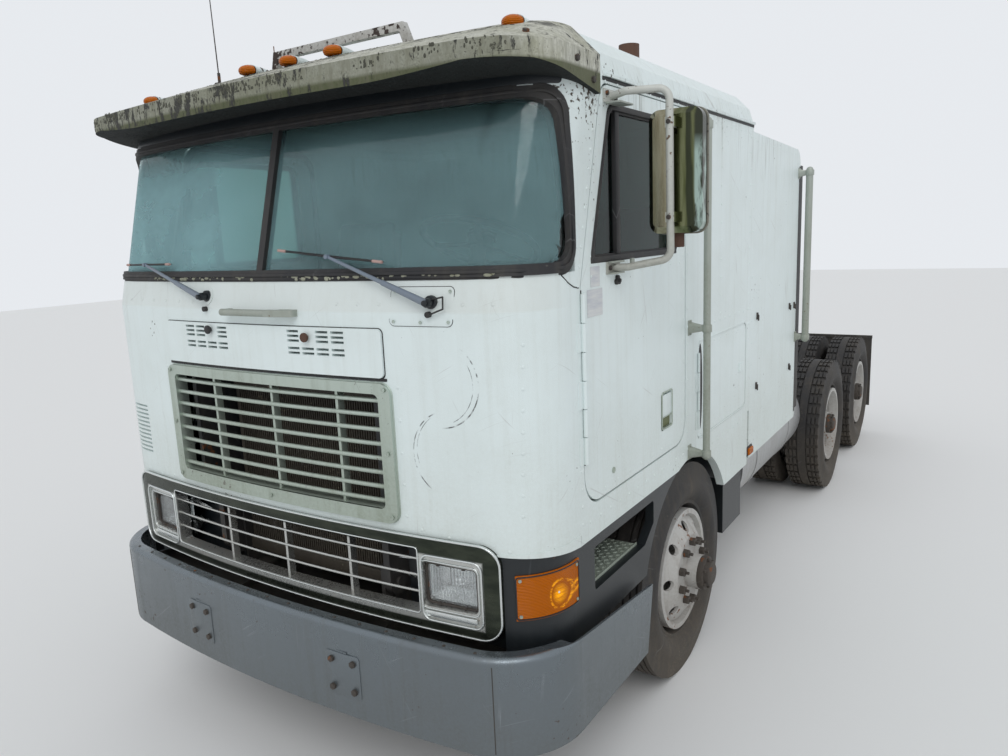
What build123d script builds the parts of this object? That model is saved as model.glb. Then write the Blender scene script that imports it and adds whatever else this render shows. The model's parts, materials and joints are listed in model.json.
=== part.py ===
from build123d import *
import math
import os

os.makedirs("parts", exist_ok=True)

# Driving dimensions, mm. Y runs rearwards, +X is the driver's side, Z is up from the road.
# nose is the Y of the cab's front face on the centre line. The other places along Y count from it.
nose = -3255.0
cab_half_width = 1145.0
bow_radius = 7080.0
corner_radius = 235.0
top_corner_radius = 180.0
cab_rear = nose + 2390.0
panel = 40.0

# Heights of the cab
floor_under = 1085.0
floor_thick = 45.0
skirt_bottom = 780.0
white_bottom = 1085.0
sill_bottom = 1045.0
crease = 1880.0
gutter = 2620.0
roof_top = 2812.0
rake = math.radians(15.6)
gutter_lean = (gutter - crease) * math.tan(rake)

# Windscreen
screen_bottom = 1990.0
screen_top = 2565.0
screen_side_end = nose + 352.0
screen_corner = 85.0
seal_width = 34.0

# Doors
door_front = nose + 391.0
door_rear = nose + 1365.0
door_bottom = 1172.0
door_top = 2596.0
door_thick = 45.0
door_gap = 7.0
door_skin_x = cab_half_width - 2.0

# Wheels
tyre_radius = 510.0
tyre_width = 280.0
rim_radius = 286.0
axle_front = nose + 1450.0
axle_rear = (nose + 4540.0, nose + 5860.0)
front_wheel_x = 990.0
kingpin_x = 830.0
outer_twin_x = 1080.0
inner_twin_x = 750.0

# Frame
rail_x = 432.0
rail_web = 10.0
rail_flange = 85.0
rail_low = 720.0
rail_top = 990.0
rail_front = nose + 165.0
rail_rear = nose + 6600.0
tilt_y = nose + 140.0
tilt_z = 860.0


def outline_points(front, half_width, corner, inset):
    """Corner points of the cab's plan: centre and end of the bowed front, middle and end of a corner."""
    bow = bow_radius - inset
    round_corner = corner - inset
    bow_centre = front + bow_radius
    corner_x = half_width - corner
    corner_y = bow_centre - math.sqrt((bow_radius - corner) ** 2 - corner_x**2)
    tangent = math.atan2(corner_y - bow_centre, corner_x)
    middle = tangent / 2
    return {
        "front": (0, bow_centre - bow),
        "tangent": (bow * math.cos(tangent), bow_centre + bow * math.sin(tangent)),
        "middle": (
            corner_x + round_corner * math.cos(middle),
            corner_y + round_corner * math.sin(middle),
        ),
        "side": (half_width - inset, corner_y),
    }


def mirrored(point):
    return (-point[0], point[1])


def plan(z, front, rear, half_width, corner, inset=0.0):
    """Closed plan outline at height z, with a bowed front and two rounded front corners."""
    points = outline_points(front, half_width, corner, inset)
    back = rear - inset
    with BuildSketch(Plane.XY.offset(z)) as section:
        with BuildLine():
            ThreePointArc(
                mirrored(points["tangent"]), points["front"], points["tangent"]
            )
            ThreePointArc(points["tangent"], points["middle"], points["side"])
            Line(points["side"], (points["side"][0], back))
            Line((points["side"][0], back), (-points["side"][0], back))
            Line((-points["side"][0], back), mirrored(points["side"]))
            ThreePointArc(
                mirrored(points["side"]),
                mirrored(points["middle"]),
                mirrored(points["tangent"]),
            )
        make_face()
    return section.sketch


def cab_hull(inset, low=skirt_bottom, high=gutter, rear=cab_rear):
    """The cab's walls as a filled body: upright up to the crease, then leaning back at the windscreen."""
    with BuildPart() as hull:
        add(plan(low, nose, rear, cab_half_width, corner_radius, inset))
        add(plan(crease, nose, rear, cab_half_width, corner_radius, inset))
        loft(ruled=True)
        add(plan(crease, nose, rear, cab_half_width, corner_radius, inset))
        share = (high - crease) / (gutter - crease)
        lean = nose + gutter_lean * share
        corner = corner_radius + (top_corner_radius - corner_radius) * share
        add(plan(high, lean, rear, cab_half_width, corner, inset))
        loft(ruled=True)
    return hull.part


def side_plate(points, radii, x_from, x_to):
    """A plate in the YZ plane from a list of corners (y, z), each with its own corner radius."""
    with BuildPart() as plate:
        with BuildSketch(Plane.YZ.offset(x_from)) as face:
            with BuildLine():
                FilletPolyline(*points, radius=radii, close=True)
            make_face()
        extrude(amount=x_to - x_from)
    return plate.part


# Outlines in the side view: list of (y, z) and a radius for each corner
door_corners = [
    (door_front, door_bottom),
    (door_rear, door_bottom),
    (door_rear, door_top),
    (nose + 572, door_top),
    (door_front, 1930.0),
]
door_radii = [115.0, 110.0, 45.0, 70.0, 60.0]


def grown(points, grow):
    """The same outline moved outwards by grow on each side, seen from its middle."""
    mid_y = sum(p[0] for p in points) / len(points)
    mid_z = sum(p[1] for p in points) / len(points)
    return [
        (y + math.copysign(grow, y - mid_y), z + math.copysign(grow, z - mid_z))
        for y, z in points
    ]


# Window tool: everything ahead of the side ends, between the two heights, with round rear corners
def screen_tool(shrink):
    corner = screen_corner - shrink * 0.4
    points = [
        (nose - 200, screen_bottom + shrink),
        (screen_side_end - shrink, screen_bottom + shrink),
        (screen_side_end - shrink, screen_top - shrink),
        (nose - 200, screen_top - shrink),
    ]
    return side_plate(points, [1.0, corner, corner, 1.0], -1300, 1300)


def block(x, y, z):
    """A box from three (low, high) pairs."""
    with BuildPart() as box:
        with Locations(
            ((x[0] + x[1]) / 2, (y[0] + y[1]) / 2, (z[0] + z[1]) / 2)
        ):
            Box(x[1] - x[0], y[1] - y[0], z[1] - z[0])
    return box.part


def side_block(side, out, y, z):
    """A block on one side of the truck, from its distances outwards from the middle plane."""
    return block(sorted((side * out[0], side * out[1])), y, z)


def disc(radius, length, centre, axis):
    """A plain round bar, its middle at centre and its length along axis."""
    with BuildPart() as bar:
        with BuildSketch(Plane(origin=centre, z_dir=axis)):
            Circle(radius)
        extrude(amount=length / 2, both=True)
    return bar.part


def tube_run(points, radius, bend):
    """A round bar that follows straight runs with equal bends."""
    with BuildPart() as bar:
        with BuildLine() as path:
            FilletPolyline(*points, radius=bend)
        with BuildSketch(path.line ^ 0):
            Circle(radius)
        sweep()
    return bar.part


def bowed_bar(x_half, depth, z, radius):
    """A round bar across the nose that follows its bow, its middle this far behind the skin."""
    reach = bow_radius - depth
    end_y = nose + bow_radius - math.sqrt(reach**2 - x_half**2)
    with BuildPart() as bar:
        with BuildLine() as path:
            ThreePointArc((-x_half, end_y, z), (0, nose + depth, z), (x_half, end_y, z))
        with BuildSketch(path.line ^ 0):
            Circle(radius)
        sweep()
    return bar.part


# Piano hinges outside the skin. Columns: y of the pin, barrel radius, low z, high z, knuckles, leaf
door_hinge = (door_front - door_gap / 2, 8.0, 1330.0, 1915.0, 6, 34.0)
hatch_hinge = (nose + 1527.5, 6.0, 1180.0, 1540.0, 4, 26.0)
leaf_proud = 3.0
knuckle_gap = 1.5


def hinge_half(row, side, first):
    """Every second knuckle from the first, with its leaf: 0 for the wall's half, 1 for the door's."""
    pin_y, radius, low, high, count, leaf = row
    pitch = (high - low) / count
    pin_x = cab_half_width + radius
    leaf_x = sorted((side * (door_skin_x - leaf_proud), side * (cab_half_width + leaf_proud)))
    away = 1 if first else -1
    leaf_y = sorted((pin_y + away, pin_y + away * leaf))
    with BuildPart() as half:
        for i in range(first, count, 2):
            z_low = low + pitch * i + knuckle_gap
            z_high = low + pitch * (i + 1) - knuckle_gap
            with Locations((side * pin_x, pin_y, (z_low + z_high) / 2)):
                Cylinder(radius, z_high - z_low)
            add(block(leaf_x, leaf_y, (z_low, z_high)))
    return half.part


outer = cab_hull(0)
inner = cab_hull(panel, low=skirt_bottom - 10, high=gutter, rear=cab_rear)
screen_hole = screen_tool(0)
ahead = nose - 300
side_split = screen_side_end
far = cab_half_width + 200

# Openings in the nose: the upper grille sits in one, the rest is below the white panel
grille_half = 596.0
grille_low = 1166.0
grille_high = 1628.0

# Louvred flap over the grille, with slots in columns and rows, and one louvre at the passenger's corner
flap_half = 592.0
flap_z = (1660.0, 1826.0)
flap_proud = 10.0
flap_corner = 18.0
slot_size = (58.0, 9.0)
slot_depth = 34.0
# Columns: x of the slots, how many rows of them
slot_columns = (
    (-413.0, 5), (-343.0, 5), (-273.0, 2), (-203.0, 5),
    (194.0, 5), (264.0, 2), (334.0, 5), (405.0, 5),
)
slot_rows = (1732.0, 1749.0, 1776.0, 1793.0, 1810.0)
louvre_x = (-1100.0, -868.0)
louvre_rows = 12
# Lowest slot, pitch and height
louvre_z, louvre_pitch, louvre_height = 1215.0, 19.0, 9.0
louvre_depth = 14.0


def front_window(x_half, z_low, z_high, radius):
    """A rounded rectangle seen from ahead, cut through the nose."""
    with BuildPart() as cut:
        with BuildSketch(Plane.XZ.offset(-(nose + 300))):
            with Locations((0, (z_low + z_high) / 2)):
                RectangleRounded(2 * x_half, z_high - z_low, radius)
        extrude(amount=700)
    return cut.part


with BuildPart() as flap:
    add(cab_hull(-flap_proud))
    add(cab_hull(5), mode=Mode.SUBTRACT)
    add(front_window(flap_half, flap_z[0], flap_z[1], flap_corner), mode=Mode.INTERSECT)

with BuildPart() as flap_slots:
    for x, rows in slot_columns:
        for z in slot_rows[:rows]:
            with Locations((x, nose + (slot_depth - flap_proud) / 2, z)):
                Box(slot_size[0], slot_depth + 2 * flap_proud, slot_size[1])

with BuildPart() as corner_louvre:
    add(cab_hull(-2))
    add(cab_hull(louvre_depth), mode=Mode.SUBTRACT)
    slits = []
    for i in range(louvre_rows):
        slit_low = louvre_z + louvre_pitch * i
        slits.append(block(louvre_x, (ahead, nose + 250), (slit_low, slit_low + louvre_height)))
    add(slits, mode=Mode.INTERSECT)

with BuildPart() as nose_panel:
    add(outer)
    add(inner, mode=Mode.SUBTRACT)
    add(
        block((-far, far), (ahead, side_split), (white_bottom, screen_bottom)),
        mode=Mode.INTERSECT,
    )
    add(
        block((-grille_half, grille_half), (ahead, nose + 200), (grille_low, grille_high)),
        mode=Mode.SUBTRACT,
    )
    add(flap.part)
    add(flap_slots.part, mode=Mode.SUBTRACT)
    add(corner_louvre.part, mode=Mode.SUBTRACT)
nose_panel.part.label = "nose_panel"
export_step(nose_panel.part, "parts/nose_panel.step")

# Side walls with the door opening, the luggage opening and the wheel arch
luggage_corners = [
    (nose + 1530, 1130.0),
    (nose + 2300, 1130.0),
    (nose + 2300, 1590.0),
    (nose + 1530, 1590.0),
]
luggage_radius = 45.0
arch_radius = 560.0

with BuildPart() as side_walls:
    add(outer)
    add(inner, mode=Mode.SUBTRACT)
    add(
        block((-far, far), (side_split, cab_rear - panel), (skirt_bottom, gutter - 20)),
        mode=Mode.INTERSECT,
    )
    add(
        block((-far, far), (side_split, axle_front + 160), (skirt_bottom, sill_bottom)),
        mode=Mode.SUBTRACT,
    )
    add(side_plate(grown(door_corners, door_gap), door_radii, -far, far), mode=Mode.SUBTRACT)
    add(
        side_plate(grown(luggage_corners, 5.0), [luggage_radius] * 4, -far, far),
        mode=Mode.SUBTRACT,
    )
    add(disc(arch_radius, 2 * far, (0, axle_front, tyre_radius), (1, 0, 0)), mode=Mode.SUBTRACT)
    add(screen_hole, mode=Mode.SUBTRACT)
    for side in (-1, 1):
        add(hinge_half(door_hinge, side, 0))
        add(hinge_half(hatch_hinge, side, 0))
side_walls.part.label = "side_walls"
export_step(side_walls.part, "parts/side_walls.step")

# Rear wall, with the tunnel's way out
tunnel_half = 500.0
tunnel_top = 1665.0
tunnel_rear_top = 1500.0
with BuildPart() as rear_wall:
    add(outer)
    add(
        block((-far, far), (cab_rear - panel, cab_rear + 10), (floor_under, gutter - 20)),
        mode=Mode.INTERSECT,
    )
    add(
        block((-tunnel_half, tunnel_half), (cab_rear - 80, cab_rear + 20), (900, tunnel_rear_top)),
        mode=Mode.SUBTRACT,
    )
rear_wall.part.label = "rear_wall"
export_step(rear_wall.part, "parts/rear_wall.step")

# Roof: header over the windscreen, then a shouldered cap. Rows: height, side inset, front inset
roof_rows = [
    (gutter, 0.0, 0.0),
    (2700.0, 22.0, 30.0),
    (2765.0, 80.0, 90.0),
    (2797.0, 180.0, 210.0),
    (roof_top, 620.0, 500.0),
]


def roof_cap(shrink):
    """The roof's filled cap, or the same cap shrunk by a wall thickness."""
    with BuildPart() as cap:
        for low, high in zip(roof_rows, roof_rows[1:]):
            for z, side_in, front_in in (low, high):
                front = nose + gutter_lean + front_in
                rear = cab_rear - side_in * 0.6
                half = cab_half_width - side_in
                add(plan(z - shrink, front, rear, half, top_corner_radius, shrink))
            loft(ruled=True)
    return cap.part


with BuildPart() as header:
    add(outer)
    add(inner, mode=Mode.SUBTRACT)
    add(block((-far, far), (ahead, side_split), (screen_top - 60, gutter - 20)), mode=Mode.INTERSECT)
    add(screen_hole, mode=Mode.SUBTRACT)

with BuildPart() as roof:
    add(outer)
    add(block((-far, far), (ahead, cab_rear + 10), (gutter - 20, gutter)), mode=Mode.INTERSECT)
    add(roof_cap(0))
    add(roof_cap(panel), mode=Mode.SUBTRACT)
    add(inner, mode=Mode.SUBTRACT)
    add(header.part)
roof.part.label = "roof"
export_step(roof.part, "parts/roof.step")

# Floor: a slab with the engine tunnel, and two ears that carry the cab on its front pivot
tunnel_wall = 25.0
tunnel_step = nose + 575
tunnel_rear = 1530.0
pivot_radius = 22.0
running_gap = 0.06
ear_x = (457.0, 487.0)
ear_y = (tilt_y - 50, tilt_y + 60)
ear_radius = 50.0
tunnel_open = 900.0

with BuildPart() as floor:
    add(block((-far, far), (ahead, cab_rear - panel), (floor_under, floor_under + floor_thick)))
    shell_half = tunnel_half + tunnel_wall
    add(
        block(
            (-shell_half, shell_half),
            (ahead, cab_rear - panel),
            (floor_under, tunnel_rear + tunnel_wall),
        )
    )
    add(
        block(
            (-shell_half, shell_half),
            (ahead, tunnel_step + tunnel_wall),
            (floor_under, tunnel_top + tunnel_wall),
        )
    )
    add(inner, mode=Mode.INTERSECT)
    for y_end, z_end in ((cab_rear, tunnel_rear), (tunnel_step, tunnel_top)):
        add(
            block((-tunnel_half, tunnel_half), (ahead, y_end), (tunnel_open, z_end)),
            mode=Mode.SUBTRACT,
        )
    for side in (-1, 1):
        add(side_block(side, ear_x, ear_y, (tilt_z, floor_under + 5)))
        add(disc(ear_radius, ear_x[1] - ear_x[0], (side * sum(ear_x) / 2, tilt_y, tilt_z), (1, 0, 0)))
        add(side_block(side, (ear_x[0], shell_half), ear_y, (floor_under - 30, floor_under + 5)))
    add(
        disc(pivot_radius + running_gap, 2 * cab_half_width, (0, tilt_y, tilt_z), (1, 0, 0)),
        mode=Mode.SUBTRACT,
    )
floor.part.label = "floor"
export_step(floor.part, "parts/floor.step")

# Windscreen: two panes in a rubber seal with a bar between them
divider_half = 16.0
pane_out = 12.0
pane_in = 18.0
pane_outer = cab_hull(pane_out)
pane_inner = cab_hull(pane_in)
seal_outer = cab_hull(-7)
seal_inner = cab_hull(34)
screen_clear = screen_tool(seal_width)
divider_zone = block((-divider_half, divider_half), (ahead, nose + 400), (screen_bottom, screen_top))

with BuildPart() as windscreen_glass:
    add(pane_outer)
    add(pane_inner, mode=Mode.SUBTRACT)
    add(screen_clear, mode=Mode.INTERSECT)
    add(divider_zone, mode=Mode.SUBTRACT)
windscreen_glass.part.label = "windscreen_glass"
export_step(windscreen_glass.part, "parts/windscreen_glass.step")

with BuildPart() as divider:
    add(seal_outer)
    add(seal_inner, mode=Mode.SUBTRACT)
    add(divider_zone, mode=Mode.INTERSECT)

with BuildPart() as windscreen_seal:
    add(seal_outer)
    add(seal_inner, mode=Mode.SUBTRACT)
    add(screen_hole, mode=Mode.INTERSECT)
    add(screen_clear, mode=Mode.SUBTRACT)
    add(divider.part)
windscreen_seal.part.label = "windscreen_seal"
export_step(windscreen_seal.part, "parts/windscreen_seal.step")

# Sun visor: a deep lip over the windscreen that sweeps up to the roof and wraps both corners
visor_half = 1165.0
visor_lip = (2623.0, 2675.0)
visor_top = 2778.0
visor_end = nose + 525.0
visor_front = nose - 12
visor_foot = 2545.0
visor_corner = 255.0
# The form at its top: front, half-width, corner radius
visor_form_top = (nose + 285, 1062.0, 150.0)
with BuildPart() as visor:
    add(plan(visor_foot, visor_front, visor_end, visor_half, visor_corner))
    add(plan(visor_lip[1], visor_front, visor_end, visor_half, visor_corner))
    loft(ruled=True)
    add(plan(visor_lip[1], visor_front, visor_end, visor_half, visor_corner))
    add(plan(visor_top, visor_form_top[0], visor_end, visor_form_top[1], visor_form_top[2]))
    loft(ruled=True)
    below = [
        (nose - 60, 2500.0),
        (nose + 700, 2500.0),
        (nose + 700, 2523.0),
        (nose + 170, visor_lip[0] - 6),
        (nose - 60, visor_lip[0]),
    ]
    add(side_plate(below, [1.0] * 5, -far, far), mode=Mode.SUBTRACT)
    add(outer, mode=Mode.SUBTRACT)
    add(roof_cap(0), mode=Mode.SUBTRACT)
visor.part.label = "visor"
export_step(visor.part, "parts/visor.step")

# Roof lamps. Columns: x, distance behind the nose, height of the foot
lamp_places = [(-963, 330, 2752), (-233, 275, 2770), (0, 275, 2770), (233, 275, 2770), (963, 330, 2752)]
lamp_foot = (104.0, 52.0, 30.0)
lamp_dome = (26.0, 44.0)
with BuildPart() as marker_lamps:
    for x, back, z in lamp_places:
        with Locations((x, nose + back, z)):
            Box(*lamp_foot)
        with Locations((x, nose + back, z + 10)):
            Cylinder(*lamp_dome)
    add(visor.part, mode=Mode.SUBTRACT)
    add(roof.part, mode=Mode.SUBTRACT)
    add(roof_cap(0), mode=Mode.SUBTRACT)
marker_lamps.part.label = "marker_lamps"
export_step(marker_lamps.part, "parts/marker_lamps.step")

# Roof bar: a square tube bent to a flat inverted U
bar_size = 28.0
bar_y = nose + 345
# Corners of its middle line, as (x, z)
bar_line = [(-176, 2700), (-140, 2840), (500, 2840), (556, 2700)]
with BuildPart() as roof_bar:
    with BuildSketch(Plane.XZ.offset(-bar_y)):
        with BuildLine():
            Polyline(*bar_line)
            offset(amount=bar_size / 2, kind=Kind.INTERSECTION, side=Side.BOTH)
        make_face()
    extrude(amount=bar_size / 2, both=True)
    add(roof_cap(0), mode=Mode.SUBTRACT)
    add(visor.part, mode=Mode.SUBTRACT)
roof_bar.part.label = "roof_bar"
export_step(roof_bar.part, "parts/roof_bar.step")


# Upper grille: a broad frame, round bars across it and upright ribs behind them, bowed like the nose
grille_bars = 8
grille_ribs = (-314.0, 33.0, 364.0)
# Half-width, low z, high z and corner radius, as for every opening seen from ahead
grille_frame = (616.0, 1148.0, 1643.0, 42.0)
frame_inner = (566.0, 1197.0, 1605.0, 22.0)
frame_proud = 15.0
bar_depth = 5.0
bar_radius = 8.0
bar_pitch = (frame_inner[2] - frame_inner[1]) / grille_bars
rib_half = 6.0
rib_depth = 30.0


def rib(x, z_low, z_high):
    """An upright strip behind the bars."""
    front = nose + bar_depth + x**2 / (2 * bow_radius)
    return block((x - rib_half, x + rib_half), (front, front + rib_depth), (z_low - 4, z_high + 4))


with BuildPart() as upper_grille:
    add(cab_hull(-frame_proud))
    add(inner, mode=Mode.SUBTRACT)
    add(front_window(*grille_frame), mode=Mode.INTERSECT)
    add(front_window(*frame_inner), mode=Mode.SUBTRACT)
    add(nose_panel.part, mode=Mode.SUBTRACT)
    for i in range(grille_bars):
        add(bowed_bar(frame_inner[0] + 10, bar_depth, frame_inner[1] + bar_pitch * (i + 0.5), bar_radius))
    for x in grille_ribs:
        add(rib(x, frame_inner[1], frame_inner[2]))
upper_grille.part.label = "upper_grille"
export_step(upper_grille.part, "parts/upper_grille.step")

# Lower grille: one chrome surround across the nose, thin bars, and a dished bezel round each lamp
band_half = 995.0
band_low = 780.0
band_high = 1118.0
band_corner = 70.0
slat_zone = (682.0, 840.0, 1074.0, 12.0)
lower_bars = (907.0, 967.5, 1028.0)
lower_bar_radius = 5.0
# Low x, high x, low z, high z of the bay round a lamp and of its lens
lamp_bay = (694.0, 936.0, 816.0, 1060.0)
lens = (704.0, 904.0, 874.0, 1020.0)
bay_corner = 34.0
lens_corner = 16.0
lens_depth = 14.0
lens_thick = 20.0
# Planes of the dish: distance behind the nose, and how much wider than the lens it is there
dish_rows = ((-60.0, 48.0), (85.0, 0.0))
band_outer = cab_hull(-frame_proud, low=band_low)


def bay_cut(x_low, x_high, z_low, z_high, radius):
    """A rounded opening seen from ahead, on both sides of the nose."""
    with BuildPart() as cut:
        with BuildSketch(Plane.XZ.offset(-(nose + 400))):
            with Locations(
                ((x_low + x_high) / 2, (z_low + z_high) / 2),
                (-(x_low + x_high) / 2, (z_low + z_high) / 2),
            ):
                RectangleRounded(x_high - x_low, z_high - z_low, radius)
        extrude(amount=800)
    return cut.part


def lamp_dish(side):
    """The hollow in a bezel, wide at the front and as large as the lens at its back."""
    centre = (side * (lens[0] + lens[1]) / 2, (lens[2] + lens[3]) / 2)
    with BuildPart() as dish:
        for behind, wider in dish_rows:
            with BuildSketch(Plane.XZ.offset(-(nose + behind))):
                with Locations(centre):
                    RectangleRounded(
                        lens[1] - lens[0] + wider, lens[3] - lens[2] + wider, lens_corner + wider / 4
                    )
        loft(ruled=True)
    return dish.part


with BuildPart() as lamp_hole:
    add(bay_cut(*lens, lens_corner))
    for side in (-1, 1):
        add(lamp_dish(side))

with BuildPart() as lamp_trim:
    add(cab_hull(-8, low=band_low))
    add(inner, mode=Mode.SUBTRACT)
    add(bay_cut(*lamp_bay, bay_corner), mode=Mode.INTERSECT)
    add(lamp_hole.part, mode=Mode.SUBTRACT)

with BuildPart() as lower_grille:
    add(band_outer)
    add(inner, mode=Mode.SUBTRACT)
    add(front_window(band_half, band_low, band_high, band_corner), mode=Mode.INTERSECT)
    add(nose_panel.part, mode=Mode.SUBTRACT)
    add(front_window(*slat_zone), mode=Mode.SUBTRACT)
    add(bay_cut(*lamp_bay, bay_corner), mode=Mode.SUBTRACT)
    add(lamp_trim.part)
    for z in lower_bars:
        add(bowed_bar(slat_zone[0] + 6, bar_depth, z, lower_bar_radius))
    for x in grille_ribs:
        add(rib(x, slat_zone[1], slat_zone[2]))
lower_grille.part.label = "lower_grille"
export_step(lower_grille.part, "parts/lower_grille.step")

with BuildPart() as headlamps:
    add(cab_hull(lens_depth, low=band_low))
    add(cab_hull(lens_depth + lens_thick, low=band_low), mode=Mode.SUBTRACT)
    add(lamp_hole.part, mode=Mode.INTERSECT)
headlamps.part.label = "headlamps"
export_step(headlamps.part, "parts/headlamps.step")

# Corner lamps wrap round the corner of the black panels
# Where they start in x, where they end along Y, low z, high z
lamp_wrap = (1033.0, nose + 322, 858.0, 1016.0)
corner_low = 700.0
step_mouth = [
    (nose + 452, 838.0),
    (nose + 905, 838.0),
    (nose + 1000, 905.0),
    (nose + 1000, 1002.0),
    (nose + 452, 1002.0),
]


def lamp_zone(side):
    """The space that a corner lamp fills."""
    return side_block(side, (lamp_wrap[0], far), (ahead, lamp_wrap[1]), lamp_wrap[2:])


black_outer = cab_hull(3, low=corner_low)
black_inner = cab_hull(panel, low=corner_low - 10)
with BuildPart() as corner_lamps:
    add(cab_hull(-3, low=corner_low))
    add(black_inner, mode=Mode.SUBTRACT)
    add([lamp_zone(1), lamp_zone(-1)], mode=Mode.INTERSECT)
corner_lamps.part.label = "corner_lamps"
export_step(corner_lamps.part, "parts/corner_lamps.step")

skirt_in = cab_half_width - panel
baffle_x = 530.0
baffle_y = (nose + 150, nose + 154)
baffle_low = 705.0
# The step in the mouth: inner x, its two ends along Y, its plate, and the wall behind the foot
step_in = 880.0
step_y = (nose + 452, nose + 905)
step_plate = (820.0, 838.0)
step_back = (880.0, 888.0)
step_back_top = 1040.0
with BuildPart() as corner_top:
    add(black_outer)
    add(black_inner, mode=Mode.SUBTRACT)
    add(block((-far, far), (ahead, side_split), (sill_bottom - 5, white_bottom)), mode=Mode.INTERSECT)

with BuildPart() as baffle:
    add(cab_hull(panel - 4, low=baffle_low))
    add(
        [block(span, baffle_y, (baffle_low, white_bottom)) for span in ((-far, -baffle_x), (baffle_x, far))],
        mode=Mode.INTERSECT,
    )

with BuildPart() as corner_panels:
    add(black_outer)
    add(black_inner, mode=Mode.SUBTRACT)
    add(
        block((-far, far), (ahead, axle_front + 100), (corner_low, sill_bottom)),
        mode=Mode.INTERSECT,
    )
    add(corner_top.part)
    add(
        front_window(band_half, corner_low - 2 * band_corner, band_high, band_corner),
        mode=Mode.SUBTRACT,
    )
    add(baffle.part)
    for side in (-1, 1):
        add(lamp_zone(side), mode=Mode.SUBTRACT)
    add(side_plate(step_mouth, [14.0] * 5, -far, far), mode=Mode.SUBTRACT)
    for side in (-1, 1):
        add(side_block(side, (step_in, skirt_in + 5), step_y, step_plate))
        add(side_block(side, step_back, step_y, (step_plate[0], step_back_top)))
    add(disc(arch_radius, 2 * far, (0, axle_front, tyre_radius), (1, 0, 0)), mode=Mode.SUBTRACT)
corner_panels.part.label = "corner_panels"
export_step(corner_panels.part, "parts/corner_panels.step")

# Inside the cab: dashboard, wheel, seats and bunk
cabin_half = 1085.0
dash_profile = [
    (nose + 30, tunnel_top + tunnel_wall),
    (nose + 470, tunnel_top + tunnel_wall),
    (nose + 500, 1790.0),
    (nose + 420, 1925.0),
    (nose + 250, 1965.0),
    (nose + 30, 1975.0),
]
dash_radii = [1.0, 25.0, 30.0, 60.0, 60.0, 1.0]
binnacle = [(nose + 300, 1900.0), (nose + 470, 1850.0), (nose + 440, 1990.0), (nose + 300, 2010.0)]
binnacle_x = (300.0, 800.0)
with BuildPart() as dashboard:
    add(side_plate(dash_profile, dash_radii, -cabin_half, cabin_half))
    add(side_plate(binnacle, [20.0] * 4, *binnacle_x))
    add(inner, mode=Mode.INTERSECT)
dashboard.part.label = "dashboard"
export_step(dashboard.part, "parts/dashboard.step")

wheel_centre = (550.0, nose + 680, 2085.0)
wheel_tilt = math.radians(25)
wheel_axis = (0.0, math.sin(wheel_tilt), math.cos(wheel_tilt))
column_length = 330.0
column_radius = 32.0
rim_ring = (232.0, 14.0)
boss = (52.0, 40.0)
spoke = (215.0, 26.0, 10.0)
spoke_middle = (125.0, 0.0, -4.0)
with BuildPart() as steering_wheel:
    with Locations(Plane(origin=wheel_centre, z_dir=wheel_axis)):
        Torus(*rim_ring)
        Cylinder(*boss)
        for turn in (90, 210, 330):
            with Locations(Rotation(0, 0, turn)):
                with Locations(spoke_middle):
                    Box(*spoke)
    column_middle = tuple(c - a * column_length / 2 for c, a in zip(wheel_centre, wheel_axis))
    add(disc(column_radius, column_length, column_middle, wheel_axis))
    add(dashboard.part, mode=Mode.SUBTRACT)
steering_wheel.part.label = "steering_wheel"
export_step(steering_wheel.part, "parts/steering_wheel.step")

# Seats: pedestal, cushion and tall back. Columns: (y, z) corners of the seat seen from the side
seat_x = (535.0, 1035.0)
floor_top = floor_under + floor_thick
seat_profile = [
    (nose + 1010, floor_top),
    (nose + 1400, floor_top),
    (nose + 1400, 1480.0),
    (nose + 1545, 2230.0),
    (nose + 1425, 2250.0),
    (nose + 1310, 1640.0),
    (nose + 900, 1620.0),
    (nose + 890, 1490.0),
    (nose + 1010, 1470.0),
]
seat_radii = [10.0, 10.0, 40.0, 45.0, 45.0, 50.0, 50.0, 40.0, 20.0]
with BuildPart() as seats:
    for side in (-1, 1):
        span = sorted((side * seat_x[0], side * seat_x[1]))
        add(side_plate(seat_profile, seat_radii, *span))
seats.part.label = "seats"
export_step(seats.part, "parts/seats.step")

bunk_y = (nose + 1600, cab_rear - panel)
bunk_half = 1095.0
bunk_board = (1600.0, 1625.0)
mattress_top = 1745.0
with BuildPart() as bunk:
    add(block((-bunk_half, bunk_half), bunk_y, bunk_board))
    mattress_y = (bunk_y[0] + 5, bunk_y[1] - 5)
    add(block((-cabin_half, cabin_half), mattress_y, (bunk_board[1], mattress_top)))
bunk.part.label = "bunk"
export_step(bunk.part, "parts/bunk.step")


# Doors: a panel as thick as the whole door, its window, a bar across the window and a paddle handle
window_corners = [
    (nose + 463, 2008.0),
    (nose + 1272, 2008.0),
    (nose + 1272, 2540.0),
    (nose + 622, 2540.0),
]
window_radii = [30.0, 50.0, 60.0, 50.0]
division = (nose + 694, nose + 718)
division_z = (2004.0, 2544.0)
glass_depth = (26.0, 20.0)
hatch_thick = 38.0
# The dish for the fingers and the grip in it
paddle = [(nose + 1085, 1275.0), (nose + 1205, 1275.0), (nose + 1205, 1435.0), (nose + 1085, 1435.0)]
paddle_depth = 16.0
grip_y = (nose + 1100, nose + 1190)
grip_z = (1330.0, 1385.0)

# Mirror: a bent tube that stands on two plates, and a head on two clamps
mirror_x = 1343.0
mirror_tube = 13.0
mirror_bend = 38.0
mirror_feet = (2560.0, 1985.0)
mirror_foot_y = (nose + 585, nose + 690)
mirror_head_y = nose + 742
mirror_head_z = 2302.0
mirror_head_size = (190.0, 76.0, 414.0)
mirror_clamps = (2150.0, 2460.0)
clamp_size = (40.0, 46.0, 34.0)

# Luggage door latch: middle along Y, height, size
latch = (nose + 2215, 1360.0, (10.0, 70.0, 42.0))

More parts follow.
